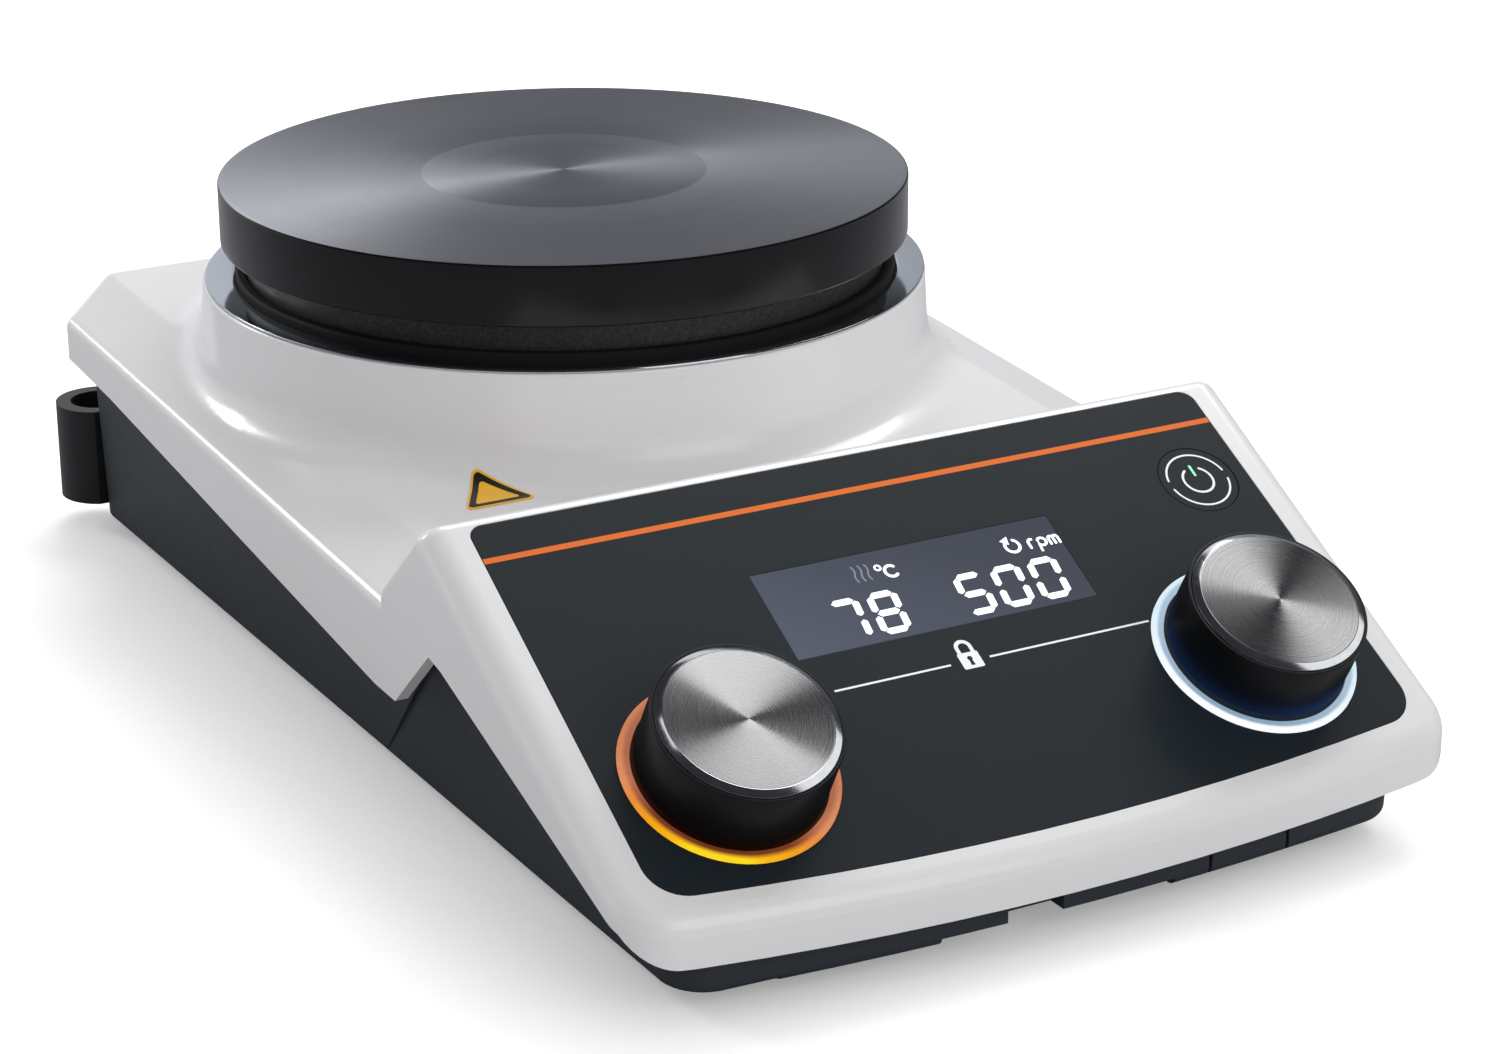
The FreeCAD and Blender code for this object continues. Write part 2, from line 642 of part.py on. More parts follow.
def base_hollows():
    cavity = block("base_cavity", 147.2, 270.5, 60, 0, (128.0 - 142.5) / 2, FLOOR_Z)
    tools = [fillet("base_cavity_rounded", cavity, [
        (6.0, lambda span, edge: span.ZLength > 50)])]
    # a recessed slanting band on each flank, and the slimmer flank in front of it
    for side, letter in ((-1, "l"), (1, "r")):
        tools.append(flank_cut("base_flank_band_" + letter, side, 76.2, [
            (-60, 46), (-68.8, 46), (-28.0, 3.0), (-21.5, 3.0)]))
        tools.append(flank_cut("base_flank_front_" + letter, side, 77.2, [
            (-62.0, 42.2), (-28.5, 3.0), (-28.5, 2.0), (-130.0, 2.0), (-130.0, 22.5),
            (-73.3, 42.2)]))
    tools += [
        block("base_grip_recess", 49, 16, 2.6, -2.5, -147, BASE_Z - 1.0),
        block("base_front_notch", 11.5, 8, 7.3, -8, -147.4, BASE_Z - 1.0),
        block("base_seam_a", 0.7, 20, 20, 48.0, -147, 1.5),
        block("base_seam_b", 0.7, 6, 20, 30.0, -148.5, 1.5),
        block("base_inlet_hole", 30.3, 12, 29.3, INLET_X, 130, INLET_Z - 14.65),
        cyl("base_sensor_hole", 7.05, 14, at(SOCKET_X, 124, SOCKET_Z, TO_REAR))]
    return tools + cyls("base_foot_hole", 3.05, 6, places(FEET, 2))


def base_tub():
    solid = fuse("base_with_flange", [base_block(), base_flange()])
    tub = cut("base_hollow", solid, base_hollows())
    posts = cyls("base_boss", 6.2, 2.0, places(POSTS, FLOOR_Z))
    holes = []
    for i, (x, y) in enumerate(POSTS):
        holes += [cyl("base_screw_hole_%d" % i, 2.2, 10, at(x, y, 0)),
                  cyl("base_screw_sink_%d" % i, 4.0, 3.0, at(x, y, 3.3))]
    posts += cyls("base_chassis_post", 5.0, CHASSIS_Z - FLOOR_Z, places(CHASSIS_POSTS, FLOOR_Z))
    holes += cyls("base_chassis_pilot", 1.55, 14, places(CHASSIS_POSTS, 16))
    posts += cyls("base_board_post", 3.2, 4.0, places(MAIN_BOARD_HOLES, FLOOR_Z))
    holes += cyls("base_board_pilot", 1.25, 5.2, places(MAIN_BOARD_HOLES, 5.0))
    # pads inside the rear wall: name, pad radius, pilot radius, (x, z) points
    for name, radius, pilot, points in (
            ("rod", 4.0, 1.55, [(ROD_SCREW_X, z) for z in ROD_SCREW_Z]),
            ("inlet", 3.5, 1.3, [(x, INLET_Z) for x in INLET_SCREW_X])):
        posts += cyls("base_%s_pad" % name, radius, 5.0,
                      [at(x, 123.5, z, TO_REAR) for x, z in points])
        holes += cyls("base_%s_pilot" % name, pilot, 10,
                      [at(x, 123.4, z, TO_REAR) for x, z in points])
    body = fuse("base_with_posts", [tub] + posts, refine=False)
    piece(cut("base_final", body, holes), "base_tub")


def rubber_feet():
    foot = turned("foot_master", [
        (0, 0), (FOOT_RADIUS - 0.6, 0), (FOOT_RADIUS, 0.6), (FOOT_RADIUS - 0.3, 3.45),
        (2.95, 3.45), (2.95, 5.9), (0, 5.9)])
    piece_set("rubber_feet", foot, places(FEET))


# ================================================================ heating plate stack
def heating_plate():
    plate = turned("plate_disc", [
        (0, PLATE_UNDER + 4.0), (51, PLATE_UNDER + 4.0), (51, PLATE_UNDER),
        (PLATE_RADIUS - 0.5, PLATE_UNDER), (PLATE_RADIUS, PLATE_UNDER + 0.5),
        (PLATE_RADIUS, PLATE_TOP - 0.45), (PLATE_RADIUS - 0.45, PLATE_TOP), (0, PLATE_TOP)],
        AXIS)
    holes = cyls("plate_stud_hole", 2.05, 7.5, places(STANDOFFS, PLATE_UNDER - 1.0))
    holes += cyls("plate_sensor_hole", 1.75, 7.0, places(SENSORS, PLATE_UNDER + 3.5))
    holes += cyls("plate_clamp_hole", 1.3, 4.0, places(CLAMP_SCREWS, PLATE_UNDER + 3.5))
    piece(cut("plate_final", plate, holes), "heating_plate")


def heating_element():
    piece(turned("element_disc", [(16, 84.0), (48, 84.0), (48, 85.45), (16, 85.45)], AXIS),
          "heating_element")


def element_clamp():
    clamp = turned("clamp_disc", [
        (0, 82.4), (50, 82.4), (50, 83.95), (15.0, 83.95), (14.6, 85.4), (0, 85.4)], AXIS)
    holes = cyls("clamp_sensor", 1.75, 8, places(SENSORS, 80))
    holes += cyls("clamp_screw", 1.4, 8, places(CLAMP_SCREWS, 80))
    piece(cut("clamp_final", clamp, holes), "element_clamp")


def plate_sensors():
    sensor = turned("sensor_master", [
        (0, 81.2), (1.1, 81.2), (1.7, 81.7), (1.7, 90.9), (1.2, 91.6), (0, 91.6)])
    piece_set("plate_sensors", sensor, places(SENSORS))


def insulation_disc():
    disc = turned("insulation_master", [
        (9.5, 70.6), (66.0, 70.6), (66.0, 80.4), (18.0, 80.4), (18.0, 78.8), (9.5, 78.8)], AXIS)
    piece(cut("insulation_final", disc, cyls("ins_hole", 4.4, 20, places(STANDOFFS, 65))),
          "insulation_disc")


def heat_shield():
    shield = turned("shield_cup", [
        (8.0, 69.5), (DRUM_RADIUS, 69.5), (DRUM_RADIUS, 80.8), (DRUM_RADIUS - 0.4, 81.1),
        (DRUM_RADIUS - 0.9, 80.8), (DRUM_RADIUS - 0.9, 70.5), (8.0, 70.5)], AXIS)
    piece(cut("shield_final", shield, cyls("shield_hole", 4.3, 10, places(STANDOFFS, 65))),
          "heat_shield")


def trim_ring():
    piece(turned("ring_master", [
        (TRIM_INNER, 73.4), (TRIM_RADIUS, 73.4), (TRIM_RADIUS, 74.35),
        (TRIM_RADIUS - 0.25, 74.6), (TRIM_INNER + 0.4, 74.1), (TRIM_INNER, 73.9)], AXIS),
        "trim_ring")


def shield_seal():
    piece(turned("seal_master", [
        (67.6, 72.0), (69.8, 72.0), (69.8, 74.9), (69.3, 75.4), (68.0, 75.4), (67.6, 75.0)],
        AXIS), "shield_seal")


def plate_standoffs():
    """Collared spacers with a stud at the top and a blind bore at the bottom."""
    standoff = turned("standoff_master", [
        (2.03, CHASSIS_TOP), (STANDOFF_RADIUS, CHASSIS_TOP), (STANDOFF_RADIUS, 67.0),
        (6.0, 67.0), (6.0, 69.45), (STANDOFF_RADIUS, 69.45), (STANDOFF_RADIUS, 81.45),
        (2.0, 81.45), (2.0, 87.4), (0, 87.4), (0, 41.0), (2.03, 41.0)])
    piece_set("plate_standoffs", standoff, places(STANDOFFS))


# ================================================================ chassis and motor
def chassis_plate():
    disc = cyl("chassis_disc", CHASSIS_RADIUS, CHASSIS_THICK, at(0, AXIS_Y, CHASSIS_Z))
    holes = [cyl("chassis_centre", 11.0, 10, at(0, AXIS_Y, 24)),
             block("chassis_slot", 26, 22, 10, 0, AXIS_Y - 66, 24)]
    holes += cyls("chassis_stand", 2.3, 10, places(STANDOFFS, 24))
    holes += cyls("chassis_post", 1.8, 10, places(CHASSIS_POSTS, 24))
    holes += cyls("chassis_motor", 1.3, 10, places(MOTOR_SCREWS, 24))
    piece(cut("chassis_final", disc, holes), "chassis_plate")


def motor_bracket():
    """Flanged sleeve with a seat for a bearing at each end."""
    bracket = turned("bracket_master", [
        (6.0, CHASSIS_TOP + 0.05), (20.0, CHASSIS_TOP + 0.05), (20.0, 32.6), (10.5, 33.0),
        (9.5, 34.0), (9.5, UPPER_BEARING + BEARING_WIDTH),
        (BEARING_RADIUS, UPPER_BEARING + BEARING_WIDTH), (BEARING_RADIUS, UPPER_BEARING),
        (6.5, UPPER_BEARING), (6.5, LOWER_BEARING + BEARING_WIDTH),
        (BEARING_RADIUS, LOWER_BEARING + BEARING_WIDTH), (BEARING_RADIUS, LOWER_BEARING),
        (6.0, LOWER_BEARING)], AXIS)
    piece(cut("bracket_final", bracket, cyls("bracket_hole", 1.3, 10, places(MOTOR_SCREWS, 26))),
          "motor_bracket")


def bearing(name, bottom):
    """Bearing as one ring, with a shallow groove in each face."""
    top = bottom + BEARING_WIDTH
    return turned(name + "_rings", [
        (BEARING_BORE, bottom), (4.3, bottom), (4.4, bottom + 0.3), (6.3, bottom + 0.3),
        (6.4, bottom), (BEARING_RADIUS, bottom), (BEARING_RADIUS, top), (6.4, top),
        (6.3, top - 0.3), (4.4, top - 0.3), (4.3, top), (BEARING_BORE, top)], AXIS)


def motor_bearings():
    piece(group("bearing_set", [bearing("bearing_lower", LOWER_BEARING),
                                bearing("bearing_upper", UPPER_BEARING)]), "motor_bearings")


def motor_stator():
    """T-shaped teeth on a ring."""
    body = doc.addObject("PartDesign::Body", "stator_body")
    ring = new_sketch(body, "stator_ring", "XY_Plane")
    draw_circle(ring, 13.0)
    draw_circle(ring, 9.55)
    add_pad(body, "stator_ring_pad", ring, STATOR_HEIGHT)
    doc.recompute()
    tip_half = 5.6
    tip_x = math.sqrt(STATOR_RADIUS.value ** 2 - tip_half ** 2)
    tooth = new_sketch(body, "stator_tooth", "XY_Plane")
    draw_outline(tooth, [
        (12.5, -1.6), (21.6, -1.6), (22.0, -tip_half), (tip_x, -tip_half),
        (STATOR_RADIUS, -1.2), (STATOR_RADIUS, 1.2), (tip_x, tip_half), (22.0, tip_half),
        (21.6, 1.6), (12.5, 1.6)])
    tooth_pad = add_pad(body, "stator_tooth_pad", tooth, STATOR_HEIGHT)
    doc.recompute()
    pattern = body.newObject("PartDesign::PolarPattern", "stator_pattern")
    pattern.Originals = [tooth_pad]
    pattern.Axis = (tooth, ["N_Axis"])
    pattern.Angle = 360.0
    pattern.Occurrences = int(TEETH.value)
    pattern.setExpression("Occurrences", TEETH.text)
    body.Tip = pattern
    piece(body, "motor_stator", at(0, AXIS_Y, STATOR_Z))
    doc.recompute()


def stator_coils():
    coil = cut("coil_master",
               block("coil_outer", 6.6, 6.4, STATOR_HEIGHT + 3.2, 17.5, 0, STATOR_Z - 1.6),
               [block("coil_inner", 8, 3.3, STATOR_HEIGHT + 0.1, 17.5, 0, STATOR_Z - 0.05)],
               refine=True)
    coil = fillet("coil_rounded", coil, [
        (0.9, lambda span, edge: span.XLength > 6 and abs(span.YMin) > 3.1
            and (span.ZMin < 35 or span.ZMin > 45))])
    teeth = int(TEETH.value)
    piece_set("stator_coils", coil, [
        at(0, AXIS_Y, 0, Rotation(Vector(0, 0, 1), 360.0 / teeth * k)) for k in range(teeth)])


def motor_shaft():
    piece(turned("shaft_master", [
        (0, 30.4), (SHAFT_RADIUS - 0.3, 30.4), (SHAFT_RADIUS, 30.7), (SHAFT_RADIUS, 56.2),
        (SHAFT_RADIUS - 0.4, 56.6), (0, 56.6)], AXIS), "motor_shaft")


def rotor_cup():
    piece(turned("cup_master", [
        (SHAFT_RADIUS, 50.4), (6.0, 50.4), (6.0, 50.9), (CUP_RADIUS - 2.0, 50.9),
        (CUP_RADIUS - 2.0, 34.8), (CUP_RADIUS, 34.8), (CUP_RADIUS, 51.6),
        (CUP_RADIUS - 0.9, 52.5), (SHAFT_RADIUS, 52.5)], AXIS), "rotor_cup")


def rotor_magnet_ring():
    outer = CUP_RADIUS - 2.0
    piece(turned("magnet_ring_master", [
        (24.8, 35.4), (outer, 35.4), (outer, 45.4), (24.8, 45.4)], AXIS), "rotor_magnet_ring")


def magnet_carrier():
    disc = turned("carrier_disc", [
        (SHAFT_RADIUS, 52.5), (28.0, 52.5), (28.0, 56.0), (27.2, 56.8), (7.0, 56.8),
        (7.0, 57.6), (SHAFT_RADIUS, 57.6)], AXIS)
    holes = cyls("carrier_pocket", MAGNET_RADIUS, 5, places(MAGNETS, MAGNET_Z))
    holes += cyls("carrier_hole", 1.3, 20, places(CARRIER_SCREWS, 45))
    piece(cut("carrier_final", disc, holes), "magnet_carrier")


def drive_magnets():
    magnet = turned("drive_magnet_master", [
        (0, MAGNET_Z), (MAGNET_RADIUS, MAGNET_Z), (MAGNET_RADIUS, 64.0),
        (MAGNET_RADIUS - 0.6, 64.6), (0, 64.6)])
    piece_set("drive_magnets", magnet, places(MAGNETS))


# ================================================================ control panel
def fascia_panel():
    holes = [cyl("fascia_knob_" + letter, LIGHT_RADIUS + 0.05, 6, at(u, -KNOB_V, -4))
             for letter, u in (("a", KNOB_U), ("b", -KNOB_U))]
    holes += [
        cyl("fascia_key", KEY_RADIUS + 0.08, 6, at(KEY_U, -KEY_V, -4)),
        block("fascia_display", DISPLAY_HALF * 2 + 0.1, DISPLAY_HEIGHT + 0.1, 6,
              0, -DISPLAY_V, -4)]
    plate = fascia_outline("fascia_plate", 0.0, FASCIA_THICK)
    piece(cut("fascia_final", plate, holes), "fascia_panel", PANEL)


def display_window():
    piece(box("window_block", DISPLAY_HALF * 2, DISPLAY_HEIGHT, FASCIA_THICK - 0.03),
          "display_window", PANEL.multiply(at(-DISPLAY_HALF, -DISPLAY_LOW_V, -FASCIA_THICK)))


def lcd_module():
    piece(box("lcd_block", 70, 27, 4.4), "lcd_module",
          PANEL.multiply(at(-35, -DISPLAY_V - 13.5, -6.0)))


def display_board():
    """Board behind the panel, its lower corners cut away."""
    blank = block("display_board_blank", 142, 68, BOARD_THICK, 0, -52, -11.6)
    cuts = [block("display_board_corner_a", 24, 30, 6, 74, -83, -14),
            block("display_board_corner_b", 24, 30, 6, -74, -83, -14)]
    cuts += cyls("display_board_hole", 1.5, 6, places(DISPLAY_BOARD_HOLES, -14))
    piece(cut("display_board_final", blank, cuts), "display_board", PANEL)


# The control functions build about the knob axis, z = 0 on the face of the fascia.
def light_ring(side, place):
    piece(turned("light_ring_%s_master" % side, [
        (15.0, -4.9), (18.8, -4.9), (18.8, -3.1), (21.0, -3.1), (21.0, -1.55),
        (LIGHT_RADIUS, -1.55), (LIGHT_RADIUS, 0.45), (LIGHT_RADIUS - 0.3, 0.75), (18.3, 0.75),
        (17.95, 0.4), (17.95, -0.6), (15.0, -0.6)], place), "light_ring_" + side)


def encoder_body(side, place):
    name = "encoder_" + side
    bore = ENCODER_RADIUS + CLEARANCE
    bush = turned(name + "_bush", [
        (bore, -4.4), (6.0, -4.4), (6.0, -3.1), (4.6, -3.1), (4.6, -0.6), (4.3, -0.3),
        (bore, -0.3)])
    can = cut(name + "_can", block(name + "_block", 14, 12.6, 6.8, 0, 0, -9.9), [
        cyl(name + "_room", 5.2, 5.5, at(0, 0, -9.95)),
        cyl(name + "_bore", bore, 20, at(0, 0, -15))])
    piece(fuse(name + "_final", [can, bush]), "encoder_body_" + side, place)


def encoder_plunger(side, place):
    piece(turned("plunger_%s_master" % side, [
        (0, -9.3), (3.9, -9.3), (4.3, -8.9), (4.3, -8.5), (2.2, -8.22), (0, -8.22)], place),
        "encoder_plunger_" + side)


def encoder_shaft(side, place):
    piece(turned("shaft_%s_master" % side, [
        (0, -8.2), (2.6, -8.2), (2.6, -7.0), (4.4, -7.0), (4.4, -5.6), (ENCODER_RADIUS, -5.6),
        (ENCODER_RADIUS, 11.2), (ENCODER_RADIUS - 0.4, 11.4), (0, 11.4)], place),
        "encoder_shaft_" + side)


def knob(side, place):
    cap_z = KNOB_TOP - CAP_THICK
    piece(turned("knob_%s_master" % side, [
        (ENCODER_RADIUS, 2.0), (5.6, 2.0), (5.6, 9.8), (14.9, 9.8), (15.3, KNOB_GAP),
        (KNOB_RADIUS - 0.25, KNOB_GAP), (KNOB_RADIUS, KNOB_GAP + 0.3),
        (KNOB_RADIUS - 0.12, KNOB_TOP - 1.65), (KNOB_RADIUS - 0.4, cap_z), (0, cap_z),
        (0, 11.4), (ENCODER_RADIUS, 11.4)], place), "knob_" + side)


def knob_cap(side, place):
    piece(turned("cap_%s_master" % side, [
        (0, KNOB_TOP - CAP_THICK), (CAP_RADIUS, KNOB_TOP - CAP_THICK),
        (CAP_RADIUS, KNOB_TOP - 0.75), (CAP_RADIUS - 0.12, KNOB_TOP - 0.55),
        (CAP_RADIUS - 0.95, KNOB_TOP - 0.06), (CAP_RADIUS - 1.1, KNOB_TOP), (0, KNOB_TOP)],
        place), "knob_cap_" + side)


def rotary_controls():
    for side, u in (("left", -KNOB_U), ("right", KNOB_U)):
        place = PANEL.multiply(at(u, -KNOB_V, 0))
        for build in (light_ring, encoder_body, encoder_plunger, encoder_shaft, knob, knob_cap):
            build(side, place)


def power_key():
    piece(turned("key_master", [
        (0, -8.6), (1.4, -8.6), (1.7, -8.3), (1.7, -5.6), (2.4, -5.6), (2.4, -3.0),
        (9.2, -3.0), (9.2, -1.56), (KEY_RADIUS, -1.56), (KEY_RADIUS, -0.15),
        (KEY_RADIUS - 0.15, 0), (0, 0)], KEY_PLACE), "power_key")


def key_switch():
    piece(cut("key_switch_final", block("key_switch_block", 6.2, 6.2, 3.2, 0, 0, -9.95),
              [cyl("key_switch_bore", 1.78, 6, at(0, 0, -9.05))]), "key_switch", KEY_PLACE)


# ================================================================ main board and its parts
def main_board():
    blank = block("main_board_blank", 116, 90, BOARD_THICK, 0, -66, MAIN_BOARD_Z)
    piece(cut("main_board_final", blank,
              cyls("main_board_hole", 1.6, 8, places(MAIN_BOARD_HOLES, 6))), "main_board")


def transformer():
    """Core with two windows, and the coil block wound through them."""
    core = cut("transformer_core_a", block("transformer_block", 34, 40, 26, 30, -50, PARTS_Z), [
        block("transformer_window_a", 40, 8, 14, 30, -60, 17.6),
        block("transformer_window_b", 40, 8, 14, 30, -40, 17.6)])
    coil = cut("transformer_coil_a",
               block("transformer_coil_block", 42, 27.6, 13.6, 30, -50, 17.8),
               [block("transformer_coil_hole", 34.1, 12.1, 30, 30, -50, 10)])
    piece(group("transformer_set", [core, coil]), "transformer")


def capacitors():
    can = turned("capacitor_master", [
        (0, PARTS_Z), (6.2, PARTS_Z), (6.2, 12.6), (5.9, 13.1), (6.2, 13.6), (6.2, 29.6),
        (5.6, 30.2), (0, 30.2)])
    piece_set("capacitors", can, places([(-8, -34), (-8, -50), (-8, -66)]))


def heat_sink():
    plates = [block("sink_base", 26, 4, 24, -36, -60, PARTS_Z)]
    plates += [block("sink_fin_%d" % i, 1.4, 14, 24, -48 + 4 * i, -51.5, PARTS_Z)
               for i in range(7)]
    piece(fuse("sink_final", plates), "heat_sink")


def power_triac():
    parts = [block("triac_body", 10, 4.4, 9, -36, -64.25, 19),
             block("triac_tab", 10, 1.3, 6, -36, -62.7, 27.5)]
    parts += [block("triac_leg_%d" % i, 0.8, 0.6, 8, -38.5 + 2.5 * i, -64.8, PARTS_Z)
              for i in range(3)]
    piece(fuse("triac_final", parts), "power_triac")


def board_connectors():
    piece(group("connector_set", [
        block("connector_a", 22, 7, 7.6, 0, -102, PARTS_Z),
        block("connector_b", 16, 8, 9, -41.5, -28, PARTS_Z),
        block("connector_c", 14, 7, 9, -26, -27.5, PARTS_Z)]), "board_connectors")


# ================================================================ rear connectors
def mains_inlet():
    body = fuse("inlet_body", [
        block("inlet_flange", 50, 2.4, 31.5, INLET_X, BASE_BACK + 1.25, INLET_Z - 15.75),
        block("inlet_block", 30, 22, 29, INLET_X, BASE_BACK - 10.95, INLET_Z - 14.5)])
    rooms = [
        block("inlet_plug_room", 24.5, 16.5, 17.0, INLET_X, BASE_BACK - 5.0, INLET_Z - 3.7),
        block("inlet_drawer_room", 24.1, 22.1, 7.1, INLET_X, BASE_BACK - 7.5, INLET_Z - 13.05)]
    rooms += cyls("inlet_hole", 1.6, 10,
                  [at(x, BASE_BACK - 3, INLET_Z, TO_REAR) for x in INLET_SCREW_X])
    piece(cut("inlet_final", body, rooms), "mains_inlet")


def fuse_drawer():
    z = INLET_Z - 13.0
    solid = fuse("drawer_solid", [
        block("drawer_tray", 24.0, 20.0, 7.0, INLET_X, BASE_BACK - 8.0, z),
        block("drawer_lip", 24.0, 1.0, 7.0, INLET_X, BASE_BACK + 2.5, z)])
    piece(cut("drawer_body", solid, [
        block("drawer_room", 21.0, 15.0, 8, INLET_X, BASE_BACK - 8.0, z + 1.5),
        block("drawer_grip", 12.0, 0.8, 2.0, INLET_X, BASE_BACK + 3.0, z + 2.5)]),
        "fuse_drawer")


def fuses():
    """Two fuses lying along X, one behind the other."""
    master = fuse("fuse_master", [
        cyl("fuse_glass", 2.3, 13.4, at(-6.7, 0, 0, TO_RIGHT)),
        cyl("fuse_cap_a", 2.6, 4, at(-7.6, 0, 0, TO_RIGHT)),
        cyl("fuse_cap_b", 2.6, 4, at(3.6, 0, 0, TO_RIGHT))])
    piece_set("fuses", master, places([
        (INLET_X, BASE_BACK - 11.5), (INLET_X, BASE_BACK - 4.6)], INLET_Z - 8.8))


def sensor_socket():
    piece(turned("sensor_socket_master", [
        (0, -6.0), (7.0, -6.0), (7.0, 0.05), (9.0, 0.05), (9.0, 1.6), (8.4, 2.2), (6.0, 2.2),
        (6.0, -3.0), (0, -3.0)], at(SOCKET_X, BASE_BACK, SOCKET_Z, TO_REAR)), "sensor_socket")


def contact_pins():
    """Three flat pins of the inlet and five round ones of the sensor socket."""
    pins = [block("pin_" + letter, 4, 11, 2, INLET_X + x, BASE_BACK - 7.7, INLET_Z + z)
            for letter, x, z in (("a", -7, 2.2), ("b", 7, 2.2), ("c", 0, 7.2))]
    angles = [math.radians(72 * i + 90) for i in range(5)]
    pins += cyls("socket_pin", 0.6, 3.6, [
        at(SOCKET_X + 3.4 * math.cos(angle), BASE_BACK - 2.98,
           SOCKET_Z + 3.4 * math.sin(angle), TO_REAR) for angle in angles])
    piece(group("pin_set", pins), "contact_pins")


# ================================================================ rod socket
def rod_socket():
    solid = fuse("rod_solid", [
        cyl("rod_tube", ROD_RADIUS, ROD_LENGTH, at(ROD_X, ROD_Y, ROD_Z)),
        box("rod_web", 14, 8.6, ROD_LENGTH, at(-77.0, ROD_FACE, ROD_Z)),
        box("rod_flange", 32, 2.5, ROD_LENGTH, at(-77.0, ROD_FACE, ROD_Z))])
    cuts = [
        cyl("rod_bore", ROD_BORE, 40, at(ROD_X, ROD_Y, 0)),
        box("rod_back_trim", 60, 10, 60, at(-100, ROD_FACE - 10, 0)),
        cyl("rod_thread", 2.03, 12, at(ROD_X + 5.0, ROD_Y, ROD_CLAMP_Z, TO_RIGHT))]
    cuts += cyls("rod_screw_hole", 1.7, 12,
                 [at(ROD_SCREW_X, 130, z, TO_REAR) for z in ROD_SCREW_Z])
    piece(cut("rod_final", solid, cuts), "rod_socket")


def rod_clamp_screw():
    piece(turned("clamp_knob_master", [
        (0, 0), (2.0, 0), (2.0, 4.6), (4.2, 4.6), (4.6, 5.0), (4.6, 12.6), (4.2, 13.0),
        (0, 13.0)], at(ROD_X + 6.36, ROD_Y, ROD_CLAMP_Z, TO_RIGHT)), "rod_clamp_screw")


# ================================================================ screws
def large_screws():
    """Housing screws and standoff screws, both from below."""
    master = screw("large_screw_master", shank=1.95, length=12.0, head=3.6, head_height=2.2,
                   drive_radius=1.2)
    piece_set("large_screws", master,
              places(POSTS, 6.28, FLIP) + places(STANDOFFS, CHASSIS_Z - 0.02, FLIP))


def medium_screws():
    """Chassis screws from above and rod socket screws from the rear."""
    master = screw("medium_screw_master", shank=1.5, length=9.5, head=2.8, head_height=1.6,
                   drive_radius=1.0)
    rod = [at(ROD_SCREW_X, BASE_BACK + 2.57, z, TO_REAR) for z in ROD_SCREW_Z]
    piece_set("medium_screws", master, places(CHASSIS_POSTS, CHASSIS_TOP + 0.02) + rod)


def small_screws():
    """Screws of the clamp, motor bracket, display board, main board and inlet."""
    master = screw("small_screw_master", shank=1.15, length=5.5, head=2.2, head_height=1.4,
                   drive_radius=0.9)
    where = places(CLAMP_SCREWS, 82.38, FLIP)
    where += places(MOTOR_SCREWS, CHASSIS_Z - 0.02, FLIP)
    where += places(DISPLAY_BOARD_HOLES, -11.62, FLIP, PANEL)
    where += places(MAIN_BOARD_HOLES, MAIN_BOARD_Z + BOARD_THICK + 0.02)
    where += [at(x, BASE_BACK + 3.67, INLET_Z, TO_REAR) for x in INLET_SCREW_X]
    piece_set("small_screws", master, where)


def carrier_screws():
    master = screw("carrier_screw_master", shank=1.25, length=4.2, head=2.4, head_height=1.5,
                   drive_radius=0.9)
    piece_set("carrier_screws", master, places(CARRIER_SCREWS, 56.8))


# ================================================================ label and cables
def triangle_label(skin):
    """Rounded triangle lying on the deck, between two raised copies of the cover skin."""
    prism = pad("label_prism", "XY_Plane", [
        (-0.5 * LABEL_SIDE, 0), (0.5 * LABEL_SIDE, 0), (0, LABEL_SIDE * (math.sqrt(3) / 2))],
        40)
    prism = fillet("label_rounded", prism, [(1.0, lambda span, edge: span.ZLength > 30)])
    prism.Placement = at(-51.2, LABEL_Y, 40)
    doc.recompute()
    upper = feature("label_skin_upper", skin.Shape.copy(), at(0, 0, 0.24))
    lower = feature("label_skin_lower", skin.Shape.copy(), at(0, 0, 0.03))
    on_cover = common("label_on_cover", prism, upper, refine=False)
    piece(cut("label_final", on_cover, [lower]), "triangle_label")


# Cables: name, radius, (x, y, z) points of the centre line
LEADS = [
    ("heater_lead", 1.4, [
        (-41.5, -28, 20.9), (-42, -27, 26), (-40, -20, 36), (-37, -10, 47), (-33.5, -2, 57),
        (-31.4, 3.8, 64), (-31.2, 4.7, 66.6), (-31.1, 5, 69.2)]),
    ("motor_lead", 1.0, [
        (-26, -27.5, 20.9), (-25.4, -27.2, 23.4), (-20, -25, 25.6), (-8, -22, 24.6),
        (2, -10, 21.5), (5, 6, 20.5), (7, 24, 20.8), (7.6, 34, 22.0), (7, 38.8, 24),
        (6.2, 41.3, 27), (6, 42, 29.6)]),
    ("mains_lead", 2.2, [
        (34, 109.9, 30), (34, 107, 29), (33.9, 103.8, 25.2), (33, 98, 19.5), (31, 88, 14),
        (26, 60, 11), (24, 20, 11), (24, -6, 12), (26, -18, 20), (28, -22, 25),
        (30, -29.6, 27)])]


def wiring_harness():
    piece(group("harness_set", [tube(name, points, radius) for name, radius, points in LEADS]),
          "wiring_harness")


def ribbon_cable():
    """Flat cable from the main board up to the display board."""
    top = PANEL.multVec(Vector(0, -40, -11.65))
    curve = Part.BSplineCurve()
    curve.interpolate([
        Vector(-8, -102, 19.85), Vector(-8, -102.0, 23), Vector(-8, top.y - 1.5, top.z - 6),
        Vector(-8, top.y, top.z - 0.1)])
    band = curve.toShape().extrude(Vector(16, 0, 0))
    piece(feature("ribbon_band", band.makeOffsetShape(0.45, 0.01, fill=True)), "ribbon_cable")


